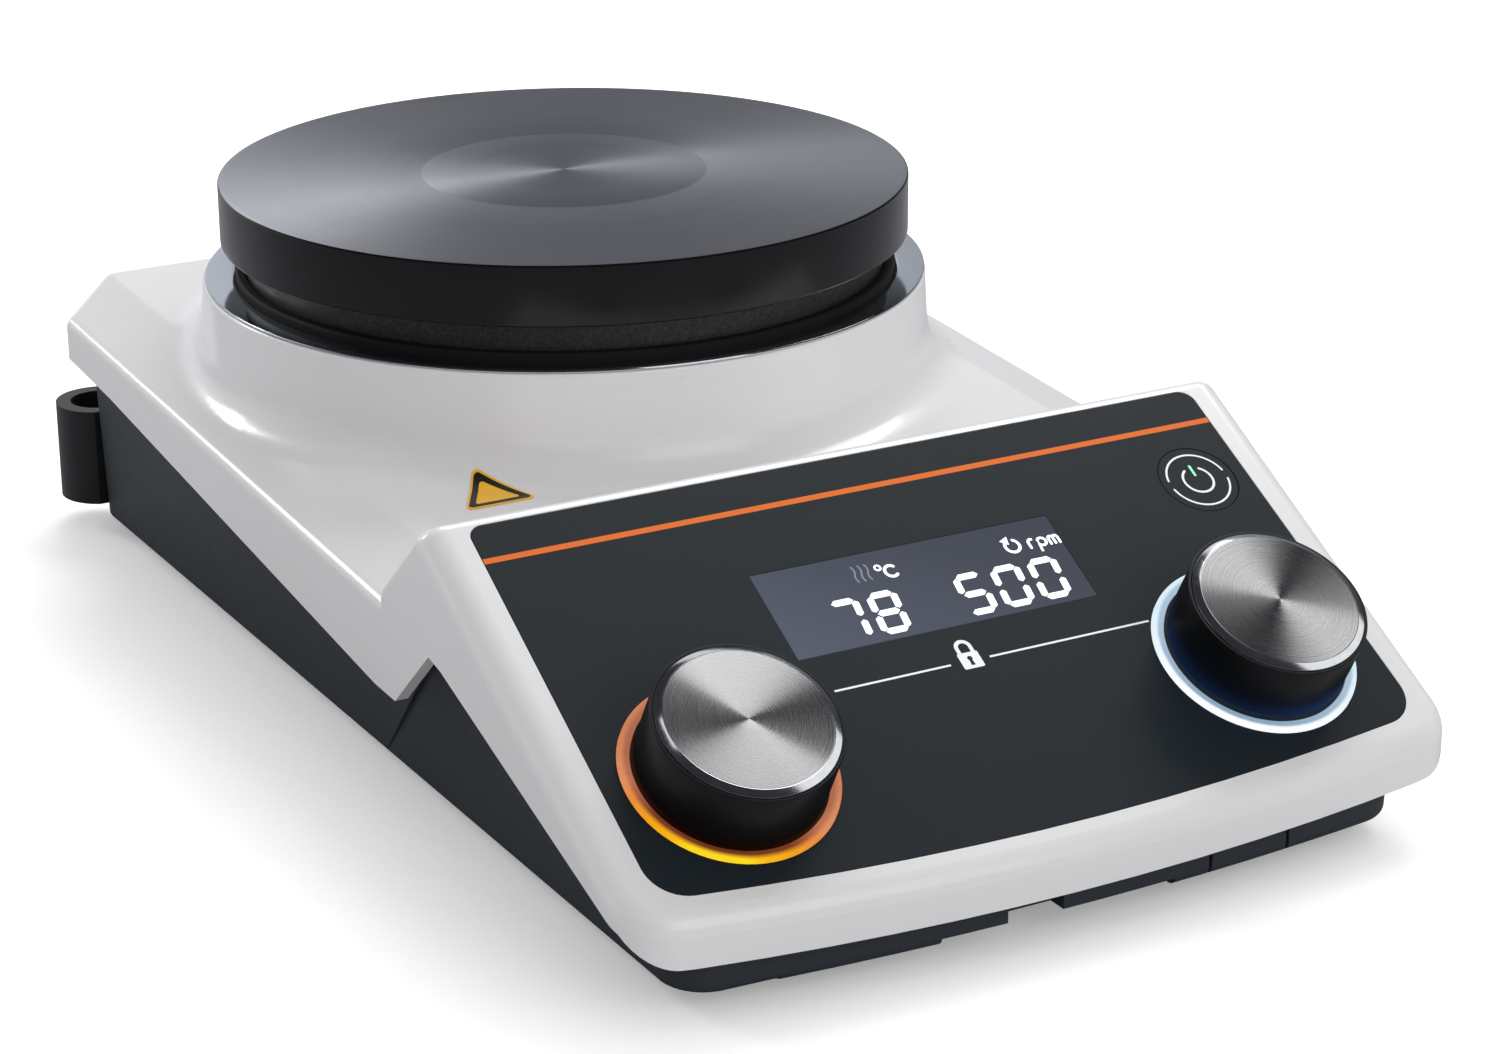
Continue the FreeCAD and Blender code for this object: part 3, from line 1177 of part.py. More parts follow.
# ================================================================ build
cover_outside = cover_skin()
top_cover(cover_outside)
for build_piece in (
        base_tub, rubber_feet,
        heating_plate, heating_element, element_clamp, plate_sensors, insulation_disc,
        heat_shield, trim_ring, shield_seal, plate_standoffs,
        chassis_plate, motor_bracket, motor_bearings, motor_stator, stator_coils, motor_shaft,
        rotor_cup, rotor_magnet_ring, magnet_carrier, drive_magnets,
        fascia_panel, display_window, lcd_module, display_board, rotary_controls, power_key,
        key_switch,
        main_board, transformer, capacitors, heat_sink, power_triac, board_connectors,
        mains_inlet, fuse_drawer, fuses, sensor_socket, contact_pins,
        rod_socket, rod_clamp_screw,
        large_screws, medium_screws, small_screws, carrier_screws):
    build_piece()
triangle_label(cover_outside)
wiring_harness()
ribbon_cable()
doc.recompute()

# ---------------------------------------------------------------- verify, then write
faults = [obj.Name for obj in doc.Objects if "Invalid" in obj.State or "Error" in obj.State]
for label, obj in pieces:
    shape = obj.Shape
    if shape.isNull() or not shape.isValid() or not shape.Solids or shape.Volume <= 0:
        faults.append(label + ": shape")
    if obj.Label != label:
        faults.append(label + ": label " + obj.Label)
if len({label for label, obj in pieces}) != len(pieces):
    faults.append("duplicate piece names")
if faults:
    raise RuntimeError("faulty objects: " + ", ".join(faults))

os.makedirs("parts", exist_ok=True)
for label, obj in pieces:
    obj.Shape.exportStep("parts/" + label + ".step")
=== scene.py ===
import json
import math

import bmesh
import bpy
from mathutils import Matrix, Vector
from mathutils.bvhtree import BVHTree


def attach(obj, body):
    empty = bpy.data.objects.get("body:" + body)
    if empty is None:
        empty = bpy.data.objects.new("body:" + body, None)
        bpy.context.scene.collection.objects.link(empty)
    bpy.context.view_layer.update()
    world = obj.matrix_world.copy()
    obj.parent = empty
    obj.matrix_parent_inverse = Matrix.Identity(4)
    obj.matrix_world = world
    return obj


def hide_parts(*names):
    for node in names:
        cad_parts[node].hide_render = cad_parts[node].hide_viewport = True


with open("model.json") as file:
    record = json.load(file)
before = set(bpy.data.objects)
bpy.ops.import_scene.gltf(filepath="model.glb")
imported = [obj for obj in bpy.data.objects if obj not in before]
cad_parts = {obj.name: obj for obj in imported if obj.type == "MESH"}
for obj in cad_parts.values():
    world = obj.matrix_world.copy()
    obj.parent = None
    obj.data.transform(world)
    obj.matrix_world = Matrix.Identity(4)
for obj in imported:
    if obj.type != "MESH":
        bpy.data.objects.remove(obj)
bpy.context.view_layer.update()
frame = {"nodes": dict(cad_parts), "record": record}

MM = 0.001
scene = bpy.context.scene
CAD = frame["nodes"]
MATERIALS = {}

# Panel frame: origin at the middle of the film's upper edge
PANEL = Matrix.Translation((0, -0.06778, 0.06511)) @ Matrix.Rotation(math.radians(29.42), 4, "X")
PLATE_AXIS = Matrix.Translation((0, 0.0483, 0))
KNOB_U, KNOB_V = 55.67, 63.36
KEY_U, KEY_V = 67.9, 22.2


# ---------------------------------------------------------------- shader node kit
def linear(hex_text):
    """Linear RGBA of an sRGB hex colour."""
    out = []
    for i in (0, 2, 4):
        c = int(hex_text[i:i + 2], 16) / 255
        out.append(c / 12.92 if c <= 0.04045 else ((c + 0.055) / 1.055) ** 2.4)
    return tuple(out) + (1.0,)


def grey(value):
    return (value, value, value, 1)


class Graph:
    """Node tree builder. Inputs take plain values, hex colours or sockets."""

    def __init__(self, owner, output_kind, coordinates):
        owner.use_nodes = True
        self.tree = owner.node_tree
        self.tree.nodes.clear()
        self.output = self.node(output_kind)
        self.position = self.node("ShaderNodeTexCoord").outputs[coordinates]

    def node(self, kind, inputs=None, **settings):
        node = self.tree.nodes.new(kind)
        row, column = divmod(len(self.tree.nodes), 9)
        node.location = (-200 * column, -160 * row)
        for key, value in settings.items():
            setattr(node, key, value)
        for key, value in (inputs or {}).items():
            self.feed(node.inputs[key], value)
        return node

    def feed(self, socket, value):
        """Link or set an input; None leaves it as it is."""
        if isinstance(value, bpy.types.NodeSocket):
            self.tree.links.new(value, socket)
        elif isinstance(value, str):
            socket.default_value = linear(value)
        elif value is not None:
            socket.default_value = value

    def noise(self, scale, detail=4.0, roughness=0.55, vector=None):
        return self.node("ShaderNodeTexNoise", {
            "Scale": scale, "Detail": detail, "Roughness": roughness,
            "Vector": self.position if vector is None else vector}).outputs["Fac"]

    def noise_along(self, distance, scale, detail, roughness):
        """Noise that varies with one value only."""
        return self.node("ShaderNodeTexNoise", {
            "Scale": scale, "Detail": detail, "Roughness": roughness, "W": distance},
            noise_dimensions="1D").outputs["Fac"]

    def ramp(self, factor, stops):
        """stops: (position, colour)."""
        node = self.node("ShaderNodeValToRGB", {0: factor})
        elements = node.color_ramp.elements
        while len(elements) < len(stops):
            elements.new(0.5)
        for element, (position, color) in zip(elements, stops):
            element.position = position
            element.color = linear(color) if isinstance(color, str) else color
        return node.outputs[0]

    def remap(self, value, from_min, from_max, to_min=0.0, to_max=1.0, smooth=False):
        return self.node("ShaderNodeMapRange", {
            0: value, 1: from_min, 2: from_max, 3: to_min, 4: to_max},
            interpolation_type="SMOOTHSTEP" if smooth else "LINEAR").outputs[0]

    def spread(self, noise, low, high):
        """Spread the usual span of a noise, 0.3 to 0.7, over low to high."""
        return self.remap(noise, 0.3, 0.7, low, high)

    def calc(self, operation, a, b=None):
        return self.node("ShaderNodeMath", {0: a, 1: b}, operation=operation).outputs[0]

    def add(self, a, b):
        return self.calc("ADD", a, b)

    def multiply(self, a, b):
        return self.calc("MULTIPLY", a, b)

    def mix(self, factor, a, b):
        """Mix two colours (inputs 6 and 7 are the colour pair)."""
        return self.node("ShaderNodeMix", {0: factor, 6: a, 7: b}, data_type="RGBA").outputs[2]

    def mix_shader(self, factor, a, b):
        return self.node("ShaderNodeMixShader", {0: factor, 1: a, 2: b}).outputs[0]

    def shade(self, color, value):
        """Colour with its brightness multiplied by value."""
        return self.node("ShaderNodeHueSaturation", {"Color": color, "Value": value}).outputs[0]

    def bump(self, height, strength, distance, normal=None):
        return self.node("ShaderNodeBump", {
            "Strength": strength, "Distance": distance, "Height": height,
            "Normal": normal}).outputs[0]

    def bevel(self, radius):
        return self.node("ShaderNodeBevel", {"Radius": radius}, samples=6).outputs[0]

    def tangent(self):
        return self.node("ShaderNodeTangent", direction_type="RADIAL", axis="Z").outputs[0]

    def light_path(self):
        return self.node("ShaderNodeLightPath").outputs

    def axes(self):
        return self.node("ShaderNodeSeparateXYZ", {0: self.position}).outputs

    def radius(self):
        """Distance from the piece's own Z axis."""
        x, y, _ = self.axes()
        return self.calc("SQRT", self.add(self.multiply(x, x), self.multiply(y, y)))

    def principled(self, **inputs):
        return self.node("ShaderNodeBsdfPrincipled", {
            key.replace("_", " "): value for key, value in inputs.items()}).outputs[0]

    def surface(self, shader):
        self.feed(self.output.inputs[0], shader)

    def finish(self, **inputs):
        self.surface(self.principled(**inputs))


class Material(Graph):
    """Material "mat_<key>" in object coordinates, entered in MATERIALS."""

    def __init__(self, key):
        block = bpy.data.materials.new("mat_" + key)
        super().__init__(block, "ShaderNodeOutputMaterial", "Object")
        MATERIALS[key] = block


# ---------------------------------------------------------------- material families
def plastic(key, color, roughness, grain=0.0, grain_scale=2600, coat=0.0, coat_roughness=0.2,
            edge=0, specular=0.5, variation=0.05, wear=0.02):
    """Moulded plastic: grain bump, slight tone variation and handling wear in the gloss."""
    mat = Material(key)
    blotches = mat.noise(scale=18, detail=3)
    fine = mat.noise(scale=160, detail=6, roughness=0.65)
    base = mat.shade(color, mat.spread(blotches, 1 - variation, 1 + variation))
    gloss = mat.add(mat.spread(fine, roughness - wear, roughness + wear),
                    mat.spread(blotches, -wear, wear))
    normal = mat.bevel(edge) if edge else None
    if grain:
        cells = mat.node("ShaderNodeTexVoronoi", {
            "Scale": grain_scale * 0.6, "Vector": mat.position}).outputs["Distance"]
        height = mat.add(mat.noise(grain_scale, detail=3, roughness=0.6),
                         mat.multiply(cells, 0.4))
        normal = mat.bump(height, strength=grain, distance=0.00006, normal=normal)
    else:
        normal = mat.bump(mat.noise(scale=420, detail=2, roughness=0.5),
                          strength=0.05, distance=0.00002, normal=normal)
    mat.finish(Base_Color=base, Roughness=gloss, Coat_Weight=coat, Coat_Roughness=coat_roughness,
               Specular_IOR_Level=specular, Normal=normal)


def metal(key, color, roughness, brush, anisotropy=0.5, strength=0.15, edge=0.00015,
          variation=0.08):
    """Brushed metal with faint smudges. brush: noise scale along x, y and z."""
    mat = Material(key)
    stretched = mat.node("ShaderNodeMapping", {
        "Scale": brush, "Vector": mat.position}).outputs[0]
    streak = mat.noise(scale=420, detail=5, roughness=0.7, vector=stretched)
    smudge = mat.noise(scale=35, detail=4, roughness=0.6)
    mat.finish(
        Base_Color=mat.shade(color, mat.spread(streak, 1 - variation, 1 + variation)),
        Metallic=1.0,
        Roughness=mat.add(mat.spread(streak, roughness * 0.8, roughness * 1.2),
                          mat.remap(smudge, 0.4, 0.7, -0.02, 0.05)),
        Anisotropic=anisotropy, Tangent=mat.tangent(),
        Normal=mat.bump(streak, strength, distance=0.00002, normal=mat.bevel(edge)))


def turned(key, color, roughness, anisotropy, ring_scale, coarse_scale, bump, variation,
           metallic=1.0, inner_disc=None):
    """Lathe-turned face: concentric tool marks, highlight stretched across them.

    inner_disc: (radius, brightness factor, added roughness) of a middle area.
    """
    mat = Material(key)
    radius = mat.radius()
    fine = mat.noise_along(radius, ring_scale, detail=3, roughness=0.7)
    coarse = mat.noise_along(radius, coarse_scale, detail=4, roughness=0.7)
    # broken arcs: the marks are uneven round the face
    x, y, _ = mat.axes()
    angle = mat.calc("ARCTAN2", y, x)
    around = mat.node("ShaderNodeCombineXYZ", {
        0: mat.multiply(radius, 2600.0),
        1: mat.multiply(mat.calc("COSINE", angle), 1.0),
        2: mat.multiply(mat.calc("SINE", angle), 1.0)}).outputs[0]
    arcs = mat.noise(scale=1.0, detail=4, roughness=0.6, vector=around)
    smudge = mat.noise(scale=42, detail=4, roughness=0.6)
    # shares of the fine, coarse and broken marks
    marks = mat.add(mat.multiply(fine, 0.52),
                    mat.add(mat.multiply(coarse, 0.32), mat.multiply(arcs, 0.16)))
    tone = mat.spread(marks, 1 - variation, 1 + variation)
    gloss = mat.add(mat.spread(marks, roughness * 0.85, roughness * 1.15),
                    mat.remap(smudge, 0.4, 0.7, -0.010, 0.018))
    if inner_disc:
        disc_radius, disc_tone, disc_gloss = inner_disc
        border = (disc_radius - 0.00015, disc_radius + 0.00015)
        tone = mat.multiply(tone, mat.remap(radius, *border, disc_tone, 1.0))
        gloss = mat.add(gloss, mat.remap(radius, *border, disc_gloss, 0.0))
    relief = mat.add(mat.multiply(fine, 0.6), mat.multiply(coarse, 0.4))
    mat.finish(Base_Color=mat.shade(color, tone), Metallic=metallic, Roughness=gloss,
               Anisotropic=anisotropy, Anisotropic_Rotation=0.25, Tangent=mat.tangent(),
               Normal=mat.bump(relief, bump, distance=0.000006))


def glow(key, inner, outer, blend, toward, spill_color, spill, body):
    """Frosted lit ring: painted shade on its inner wall, bright outer band, tone changing across
    it.

    inner, outer: colour stops along the direction `toward` (degrees from +X).
    blend: radii between which inner turns into outer; the darker inner tones are painted shade.
    spill_color, spill: what the ring casts on its surroundings.
    """
    ring_radius = 0.0192
    wall_radius = 0.01768
    mat = Material(key)
    x, y, _ = mat.axes()
    angle = math.radians(toward)
    along = mat.add(mat.multiply(x, math.cos(angle) / ring_radius),
                    mat.multiply(y, math.sin(angle) / ring_radius))
    along = mat.remap(along, -1.0, 1.0)
    wave = mat.noise(scale=160, detail=2, roughness=0.5)
    radius = mat.add(mat.radius(), mat.spread(wave, -0.00004, 0.00004))
    # painted shade: the inner tones are darker towards the inner edge
    seen_color = mat.mix(mat.remap(radius, *blend), mat.ramp(along, inner),
                         mat.ramp(along, outer))
    frost = mat.noise(scale=900, detail=3, roughness=0.6)
    # painted shade: the glow falls to near black on the inner wall, in the gap beside the knob
    seen = mat.multiply(mat.spread(frost, 0.96, 1.04),
                        mat.remap(radius, wall_radius, wall_radius + 0.00018, 0.04, 1.0))
    camera_ray = mat.light_path()["Is Camera Ray"]
    cast = mat.ramp(along, [(0.45, grey(0.1 * spill)), (0.95, grey(spill))])
    mat.finish(Base_Color=body, Roughness=0.5, Specular_IOR_Level=0.2,
               Emission_Color=mat.mix(camera_ray, spill_color, seen_color),
               Emission_Strength=mat.mix(camera_ray, cast, seen),
               Normal=mat.bump(frost, strength=0.1, distance=0.00002))


def label(key, dark, light, roughness, coat=0.0):
    """Printed label film. roughness: (low, high)."""
    mat = Material(key)
    mat.finish(Base_Color=mat.ramp(mat.noise(scale=260), [(0.2, dark), (0.8, light)]),
               Roughness=mat.spread(mat.noise(scale=400, detail=3), *roughness),
               Coat_Weight=coat,
               Normal=mat.bump(mat.noise(scale=1800, detail=2), strength=0.05,
                               distance=0.00002))


def ink(key, color, emission, strength):
    """Printed ink; its glow is painted light that brightens the ink."""
    mat = Material(key)
    speckle = mat.noise(scale=700)
    mat.finish(Base_Color=mat.mix(mat.spread(speckle, 0.0, 0.12), color, "808080"),
               Roughness=mat.spread(speckle, 0.38, 0.5), Emission_Color=emission,
               Emission_Strength=strength, Specular_IOR_Level=0.12,
               Normal=mat.bump(speckle, strength=0.05, distance=0.00001))


# ---------------------------------------------------------------- single materials
def shield_steel():
    """Heat-resistant coating: dark, slightly warm, sanded look."""
    mat = Material("shield_steel")
    speckle = mat.noise(scale=1400, detail=5, roughness=0.75)
    blotches = mat.noise(scale=40, detail=3)
    mat.finish(
        Base_Color=mat.ramp(speckle, [(0.30, "1D1D20"), (0.55, "383533"), (0.75, "58534F")]),
        Metallic=0.25, Roughness=mat.spread(blotches, 0.42, 0.56),
        Normal=mat.bump(speckle, strength=0.5, distance=0.00008, normal=mat.bevel(0.0002)))


def board_green():
    """Glass fibre circuit board with faint traces under the mask."""
    mat = Material("board_green")
    traces = mat.node("ShaderNodeTexBrick", {
        "Scale": 180, "Mortar Size": 0.03, "Color1": "17603A", "Color2": "145233",
        "Mortar": "2E8A55", "Vector": mat.position}).outputs
    mat.finish(Base_Color=traces[0], Roughness=mat.spread(mat.noise(scale=300), 0.3, 0.4),
               Coat_Weight=0.4,
               Normal=mat.bump(traces["Fac"], strength=0.2, distance=0.00003))


def display_glass():
    """Tinted window that glows with its own tint as painted light, darker towards its upper
    right.
    """
    mat = Material("display_glass")
    x, y, _ = mat.axes()
    slope = mat.add(mat.multiply(x, -7.0), mat.multiply(y, -9.0))
    slope = mat.add(slope, mat.multiply(mat.noise(scale=12, detail=2), 0.35))
    tint_and_painted_glow = mat.ramp(mat.remap(slope, 0.40, 1.55),
                    [(0.0, "24272E"), (0.5, "32363F"), (1.0, "4A4F5B")])
    mat.finish(Base_Color=tint_and_painted_glow, Roughness=0.16, Coat_Weight=0.3, Coat_Roughness=0.08,
               # the window's emission is painted light: the glass glows with its own tint
               Specular_IOR_Level=0.3, Emission_Color=tint_and_painted_glow, Emission_Strength=0.95,
               Normal=mat.bump(mat.noise(scale=2500, detail=2), strength=0.02,
                               distance=0.00001))


def fuse_glass():
    mat = Material("fuse_glass")
    mat.finish(Base_Color="DDE2E4", Roughness=mat.spread(mat.noise(scale=200), 0.04, 0.1),
               Transmission_Weight=0.6,
               Normal=mat.bump(mat.noise(scale=600), strength=0.05, distance=0.00002))


def lcd_lit():
    """Display segment that is on."""
    mat = Material("lcd_lit")
    speckle = mat.noise(scale=500, detail=3)
    mat.finish(Base_Color="C8CCD2", Roughness=0.4,
               Emission_Color=mat.mix(mat.spread(speckle, 0.0, 0.3), "F6F8FC", "DDE4F0"),
               Emission_Strength=1.0,
               Normal=mat.bump(speckle, strength=0.05, distance=0.00001))


def lcd_dim():
    """Faint display segment."""
    mat = Material("lcd_dim")
    speckle = mat.noise(scale=500, detail=3)
    mat.finish(Base_Color="6C7280", Roughness=0.4, Emission_Color="8A90A0",
               Emission_Strength=mat.spread(speckle, 0.2, 0.3),
               Normal=mat.bump(speckle, strength=0.05, distance=0.00001))


plastic("white_plastic", "E3E2E2", roughness=0.30, coat=0.55, coat_roughness=0.13,
        variation=0.008, wear=0.015)
plastic("dark_grey_plastic", "30363B", roughness=0.50, grain=0.55, grain_scale=1900,
        edge=0.0003, variation=0.06, specular=0.30)
plastic("fascia_film", "21282D", roughness=0.46, grain=0.10, grain_scale=5200, edge=0.0002,
        variation=0.03, specular=0.12)
plastic("black_plastic", "17181A", roughness=0.46, grain=0.30, edge=0.0002)
plastic("soft_rubber", "191A1B", roughness=0.72, grain=0.45, grain_scale=1500, edge=0.0003,
        variation=0.08, specular=0.3)
plastic("connector_white", "DDD8C6", roughness=0.48, grain=0.12, edge=0.0002)
plastic("cable_jacket", "34373B", roughness=0.55, grain=0.2)
plastic("heat_element", "8A5A2B", roughness=0.5, grain=0.3, grain_scale=900, variation=0.15)
plastic("insulation_wool", "CFC8B8", roughness=0.92, grain=1.0, grain_scale=900,
        variation=0.10, specular=0.1)
plastic("plate_edge", "111213", roughness=0.22, variation=0.04, specular=0.32, wear=0.03)
plastic("knob_body", "0E1011", roughness=0.40, grain=0.10, grain_scale=5200,
        variation=0.04, specular=0.26)
metal("shaft_steel", "B9BCC0", roughness=0.22, brush=(1, 1, 30), anisotropy=0.4)
metal("zinc_steel", "A4A8AB", roughness=0.34, brush=(8, 1, 1), anisotropy=0.3)
metal("polished_steel", "C9CDD3", roughness=0.09, brush=(1, 1, 1), anisotropy=0.1,
      strength=0.03, variation=0.03)
metal("motor_iron", "55575B", roughness=0.45, brush=(1, 1, 40), anisotropy=0.2)
metal("magnet_nickel", "A7AAAE", roughness=0.16, brush=(1, 1, 1), anisotropy=0.1, strength=0.05)
metal("sink_aluminium", "B4B7BA", roughness=0.36, brush=(1, 1, 20), anisotropy=0.4)
metal("copper_coil", "B4682E", roughness=0.30, brush=(1, 40, 1), strength=0.4)
metal("contact_brass", "C9A24E", roughness=0.24, brush=(1, 20, 1))
turned("knob_face", "B6B6B7", roughness=0.264, anisotropy=1.0, ring_scale=3100.0,
       coarse_scale=900.0, bump=0.010, variation=0.09)
metal("knob_rim", "C2C4C7", roughness=0.13, brush=(1, 1, 1), anisotropy=0.2, strength=0.05,
      edge=0)
turned("plate_top", "8A8C93", roughness=0.392, anisotropy=0.79, ring_scale=5200.0,
       coarse_scale=350.0, bump=0.10, variation=0.05, metallic=0.65,
       inner_disc=(0.0300, 0.95, 0.010))
shield_steel()
board_green()
display_glass()
fuse_glass()
label("label_yellow", dark="F2B010", light="FCC424", roughness=(0.32, 0.44), coat=0.2)
label("label_border", dark="151412", light="1E1C1A", roughness=(0.36, 0.46))
# the glow given to each print below is painted light
ink("print_orange", "D8660C", emission="F0741C", strength=0.12)
ink("print_white", "DFE1E3", emission="D8DADC", strength=0.30)
ink("print_dark", "1B1E21", emission="000000", strength=0.0)
ink("print_green", "8FE0B8", emission="7FE8B8", strength=0.55)
lcd_lit()
lcd_dim()
glow("ring_left",
     inner=[(0.55, "A86444"), (0.70, "B87050"), (0.86, "7A3A22"), (1.0, "6A3018")],
     outer=[(0.45, "C87A52"), (0.70, "DF8E60"), (0.80, "E88A3A"), (0.90, "F2A010"),
            (0.97, "F8B810"), (1.0, "FDD91D")],
     blend=(0.01845, 0.01945), toward=238, spill_color="C03A08", spill=0.10, body="1C0E0A")
glow("ring_right",
     inner=[(0.5, "A9BFD2"), (0.8, "9CB4CC"), (1.0, "88A2BC")],
     outer=[(0.45, "D4ECF6"), (0.65, "E8F4FA"), (0.80, "F6FCFF"), (1.0, "FFFFFF")],
     blend=(0.01865, 0.01925), toward=232, spill_color="5C96FF", spill=0.95, body="14181E")

# Each CAD piece takes the material named after its slot; slots without one are black plastic
slot_of = {part["node"]: part["material_slot"] for part in frame["record"]["subparts"]}
for node_name, piece in CAD.items():
    piece.data.materials.clear()
    piece.data.materials.append(MATERIALS.get(slot_of[node_name], MATERIALS["black_plastic"]))
# pieces that differ from their slot
for node_name, key in (("knob_left", "knob_body"), ("knob_right", "knob_body"),
                       ("power_key", "fascia_film"), ("rod_socket", "black_plastic")):
    CAD[node_name].data.materials[0] = MATERIALS[key]


# ---------------------------------------------------------------- mesh kit
def link_mesh(name, bm, materials, body, matrix=None, sharp=32):
    """Turn a bmesh into a smooth-shaded object riding on a body. sharp: degrees."""
    bmesh.ops.recalc_face_normals(bm, faces=bm.faces)
    mesh = bpy.data.meshes.new(name)
    bm.to_mesh(mesh)
    bm.free()
    for polygon in mesh.polygons:
        polygon.use_smooth = True
    mesh.set_sharp_from_angle(angle=math.radians(sharp))
    for key in materials:
        mesh.materials.append(MATERIALS[key])
    ob = bpy.data.objects.new(name, mesh)
    scene.collection.objects.link(ob)
    if matrix is not None:
        ob.matrix_world = matrix
    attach(ob, body)
    return ob


def arc(center_x, center_y, radius, start, end, steps):
    """Arc points, both ends included; angles in degrees."""
    angles = [math.radians(start + (end - start) * i / steps) for i in range(steps + 1)]
    return [(center_x + radius * math.cos(a), center_y + radius * math.sin(a)) for a in angles]


def arc_between(center, start, end, radius, steps):
    """Short way round a centre, from the start point's bearing to the end point's."""
    first = math.atan2(start.y - center.y, start.x - center.x)
    last = math.atan2(end.y - center.y, end.x - center.x)
    sweep = (last - first + math.pi) % (2 * math.pi) - math.pi
    return arc(center.x, center.y, radius, math.degrees(first), math.degrees(first + sweep),
               steps)


def rounded_profile(points, closed):
    """points: (r, z) or (r, z, corner radius). Corners with a radius become arcs."""
    out = []
    last = len(points) - 1
    for i, point in enumerate(points):
        if len(point) < 3 or (not closed and i in (0, last)):
            out.append(point[:2])
            continue
        corner = Vector(point[:2])
        back = Vector(points[i - 1][:2]) - corner
        ahead = Vector(points[(i + 1) % len(points)][:2]) - corner
        half = back.angle(ahead) / 2
        # an arc never uses more than about half of an adjoining side
        reach = min(point[2] / math.tan(half), back.length * 0.49, ahead.length * 0.49)
        radius = reach * math.tan(half)
        back.normalize()
        ahead.normalize()
        center = corner + (back + ahead).normalized() * (radius / math.sin(half))
        out += arc_between(center, corner + back * reach, corner + ahead * reach, radius, 6)
    return out


def lathe(name, points, materials, body, replaced, matrix, segments=256, closed=True,
          first_zone=None):
    """Solid of revolution about the local Z axis, standing in for a CAD piece.

    first_zone: (height, radius); faces above and inside take the first material and the
    others the second.
    """
    profile = rounded_profile(points, closed)
    bm = bmesh.new()
    rings = []
    for r, z in profile:
        if r < 1e-6:
            rings.append([bm.verts.new((0, 0, z * MM))])
            continue
        angles = [2 * math.pi * k / segments for k in range(segments)]
        rings.append([bm.verts.new((r * MM * math.cos(a), r * MM * math.sin(a), z * MM))
                      for a in angles])
    for i in range(len(rings) if closed else len(rings) - 1):
        j = (i + 1) % len(rings)
        a, b = rings[i], rings[j]
        if len(a) == 1 and len(b) == 1:
            continue
        material = 0
        if first_zone:
            (r0, z0), (r1, z1) = profile[i], profile[j]
            material = 0 if min(z0, z1) > first_zone[0] and max(r0, r1) < first_zone[1] else 1
        for k in range(segments):
            k2 = (k + 1) % segments
            if len(a) == 1:
                face = bm.faces.new((a[0], b[k], b[k2]))
            elif len(b) == 1:
                face = bm.faces.new((a[k], b[0], a[k2]))
            else:
                face = bm.faces.new((a[k], b[k], b[k2], a[k2]))
            face.material_index = material
    ob = link_mesh(name, bm, materials, body, matrix, sharp=30)
    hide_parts(replaced)
    return ob


def prism(bm, outline, bottom, top, material):
    """Closed prism on a 2D outline."""
    low = [bm.verts.new((x * MM, y * MM, bottom * MM)) for x, y in outline]
    high = [bm.verts.new((x * MM, y * MM, top * MM)) for x, y in outline]
    faces = [bm.faces.new(high), bm.faces.new(low[::-1])]
    for i in range(len(low)):
        j = (i + 1) % len(low)
        faces.append(bm.faces.new((low[i], low[j], high[j], high[i])))
    for face in faces:
        face.material_index = material


def printed(name, groups, materials, body="housing", matrix=PANEL, y_sign=-1):
    """Thin raised print. groups: (outlines, (bottom, top), material number).

    With y_sign -1 the outlines are in panel u, v.
    """
    bm = bmesh.new()
    for outlines, (bottom, top), material in groups:
        for outline in outlines:
            prism(bm, [(x, y_sign * y) for x, y in outline], bottom, top, material)
    link_mesh(name, bm, materials, body, matrix)


def stroke(points, width, round_ends=True):
    """Outline of a pen stroke along a polyline, with mitred joints."""
    path = [Vector(p) for p in points]
    half = width / 2
    directions = [(b - a).normalized() for a, b in zip(path, path[1:])]
    normals = [Vector((-d.y, d.x)) for d in directions]
    left, right = [], []
    for point, before, after in zip(path, normals[:1] + normals, normals + normals[-1:]):
        middle = (before + after).normalized()
        offset = middle * (half / max(0.35, middle.dot(before)))
        left.append(point + offset)
        right.append(point - offset)

    def cap(point, direction):
        if not round_ends:
            return []
        bearing = math.degrees(math.atan2(direction.y, direction.x))
        return arc(point.x, point.y, half, bearing + 90, bearing - 90, 8)[1:-1]

    return left + cap(path[-1], directions[-1]) + right[::-1] + cap(path[0], -directions[0])


def rounded_rect(center_x, center_y, width, height, radius):
    out = []
    for sx, sy, start in ((1, 1, 0), (-1, 1, 90), (-1, -1, 180), (1, -1, 270)):
        out += arc(center_x + sx * (width / 2 - radius), center_y + sy * (height / 2 - radius),
                   radius, start, start + 90, 6)
    return out


# ---------------------------------------------------------------- prints on the front film
FILM_LAYER = (0.006, 0.030)     # bottom and top above the panel
KEY_LAYER = (0.012, 0.03)
FILM_HALF_TOP = 78.58           # half width of the film at v = 0
FILM_HALF_LOW = 79.9            # half width at v = FILM_LENGTH
FILM_LENGTH = 85.05
ACCENT_TOP, ACCENT_BOTTOM = 7.65, 8.9
ACCENT_MARGIN = 0.05
ACCENT_STEPS = 24
PADLOCK_U = -0.15


def accent_edge(v):
    """Points across the film at v, left to right."""
    half = FILM_HALF_TOP + (FILM_HALF_LOW - FILM_HALF_TOP) / FILM_LENGTH * v - ACCENT_MARGIN
    return [(-half + i * 2 * half / ACCENT_STEPS, v) for i in range(ACCENT_STEPS + 1)]


def accent_line():
    """Orange line over the full width of the film."""
    outline = accent_edge(ACCENT_TOP) + accent_edge(ACCENT_BOTTOM)[::-1]
    printed("print_accent_line", [([outline], FILM_LAYER, 0)], ["print_orange"])


def lock_line():
    """White line with a gap for the padlock."""
    lines = [stroke([(start, 51.9), (end, 51.9)], 0.42, round_ends=False)
             for start, end in ((-28.8, -4.5), (3.8, 38.7))]
    printed("print_lock_line", [(lines, FILM_LAYER, 0)], ["print_white"])


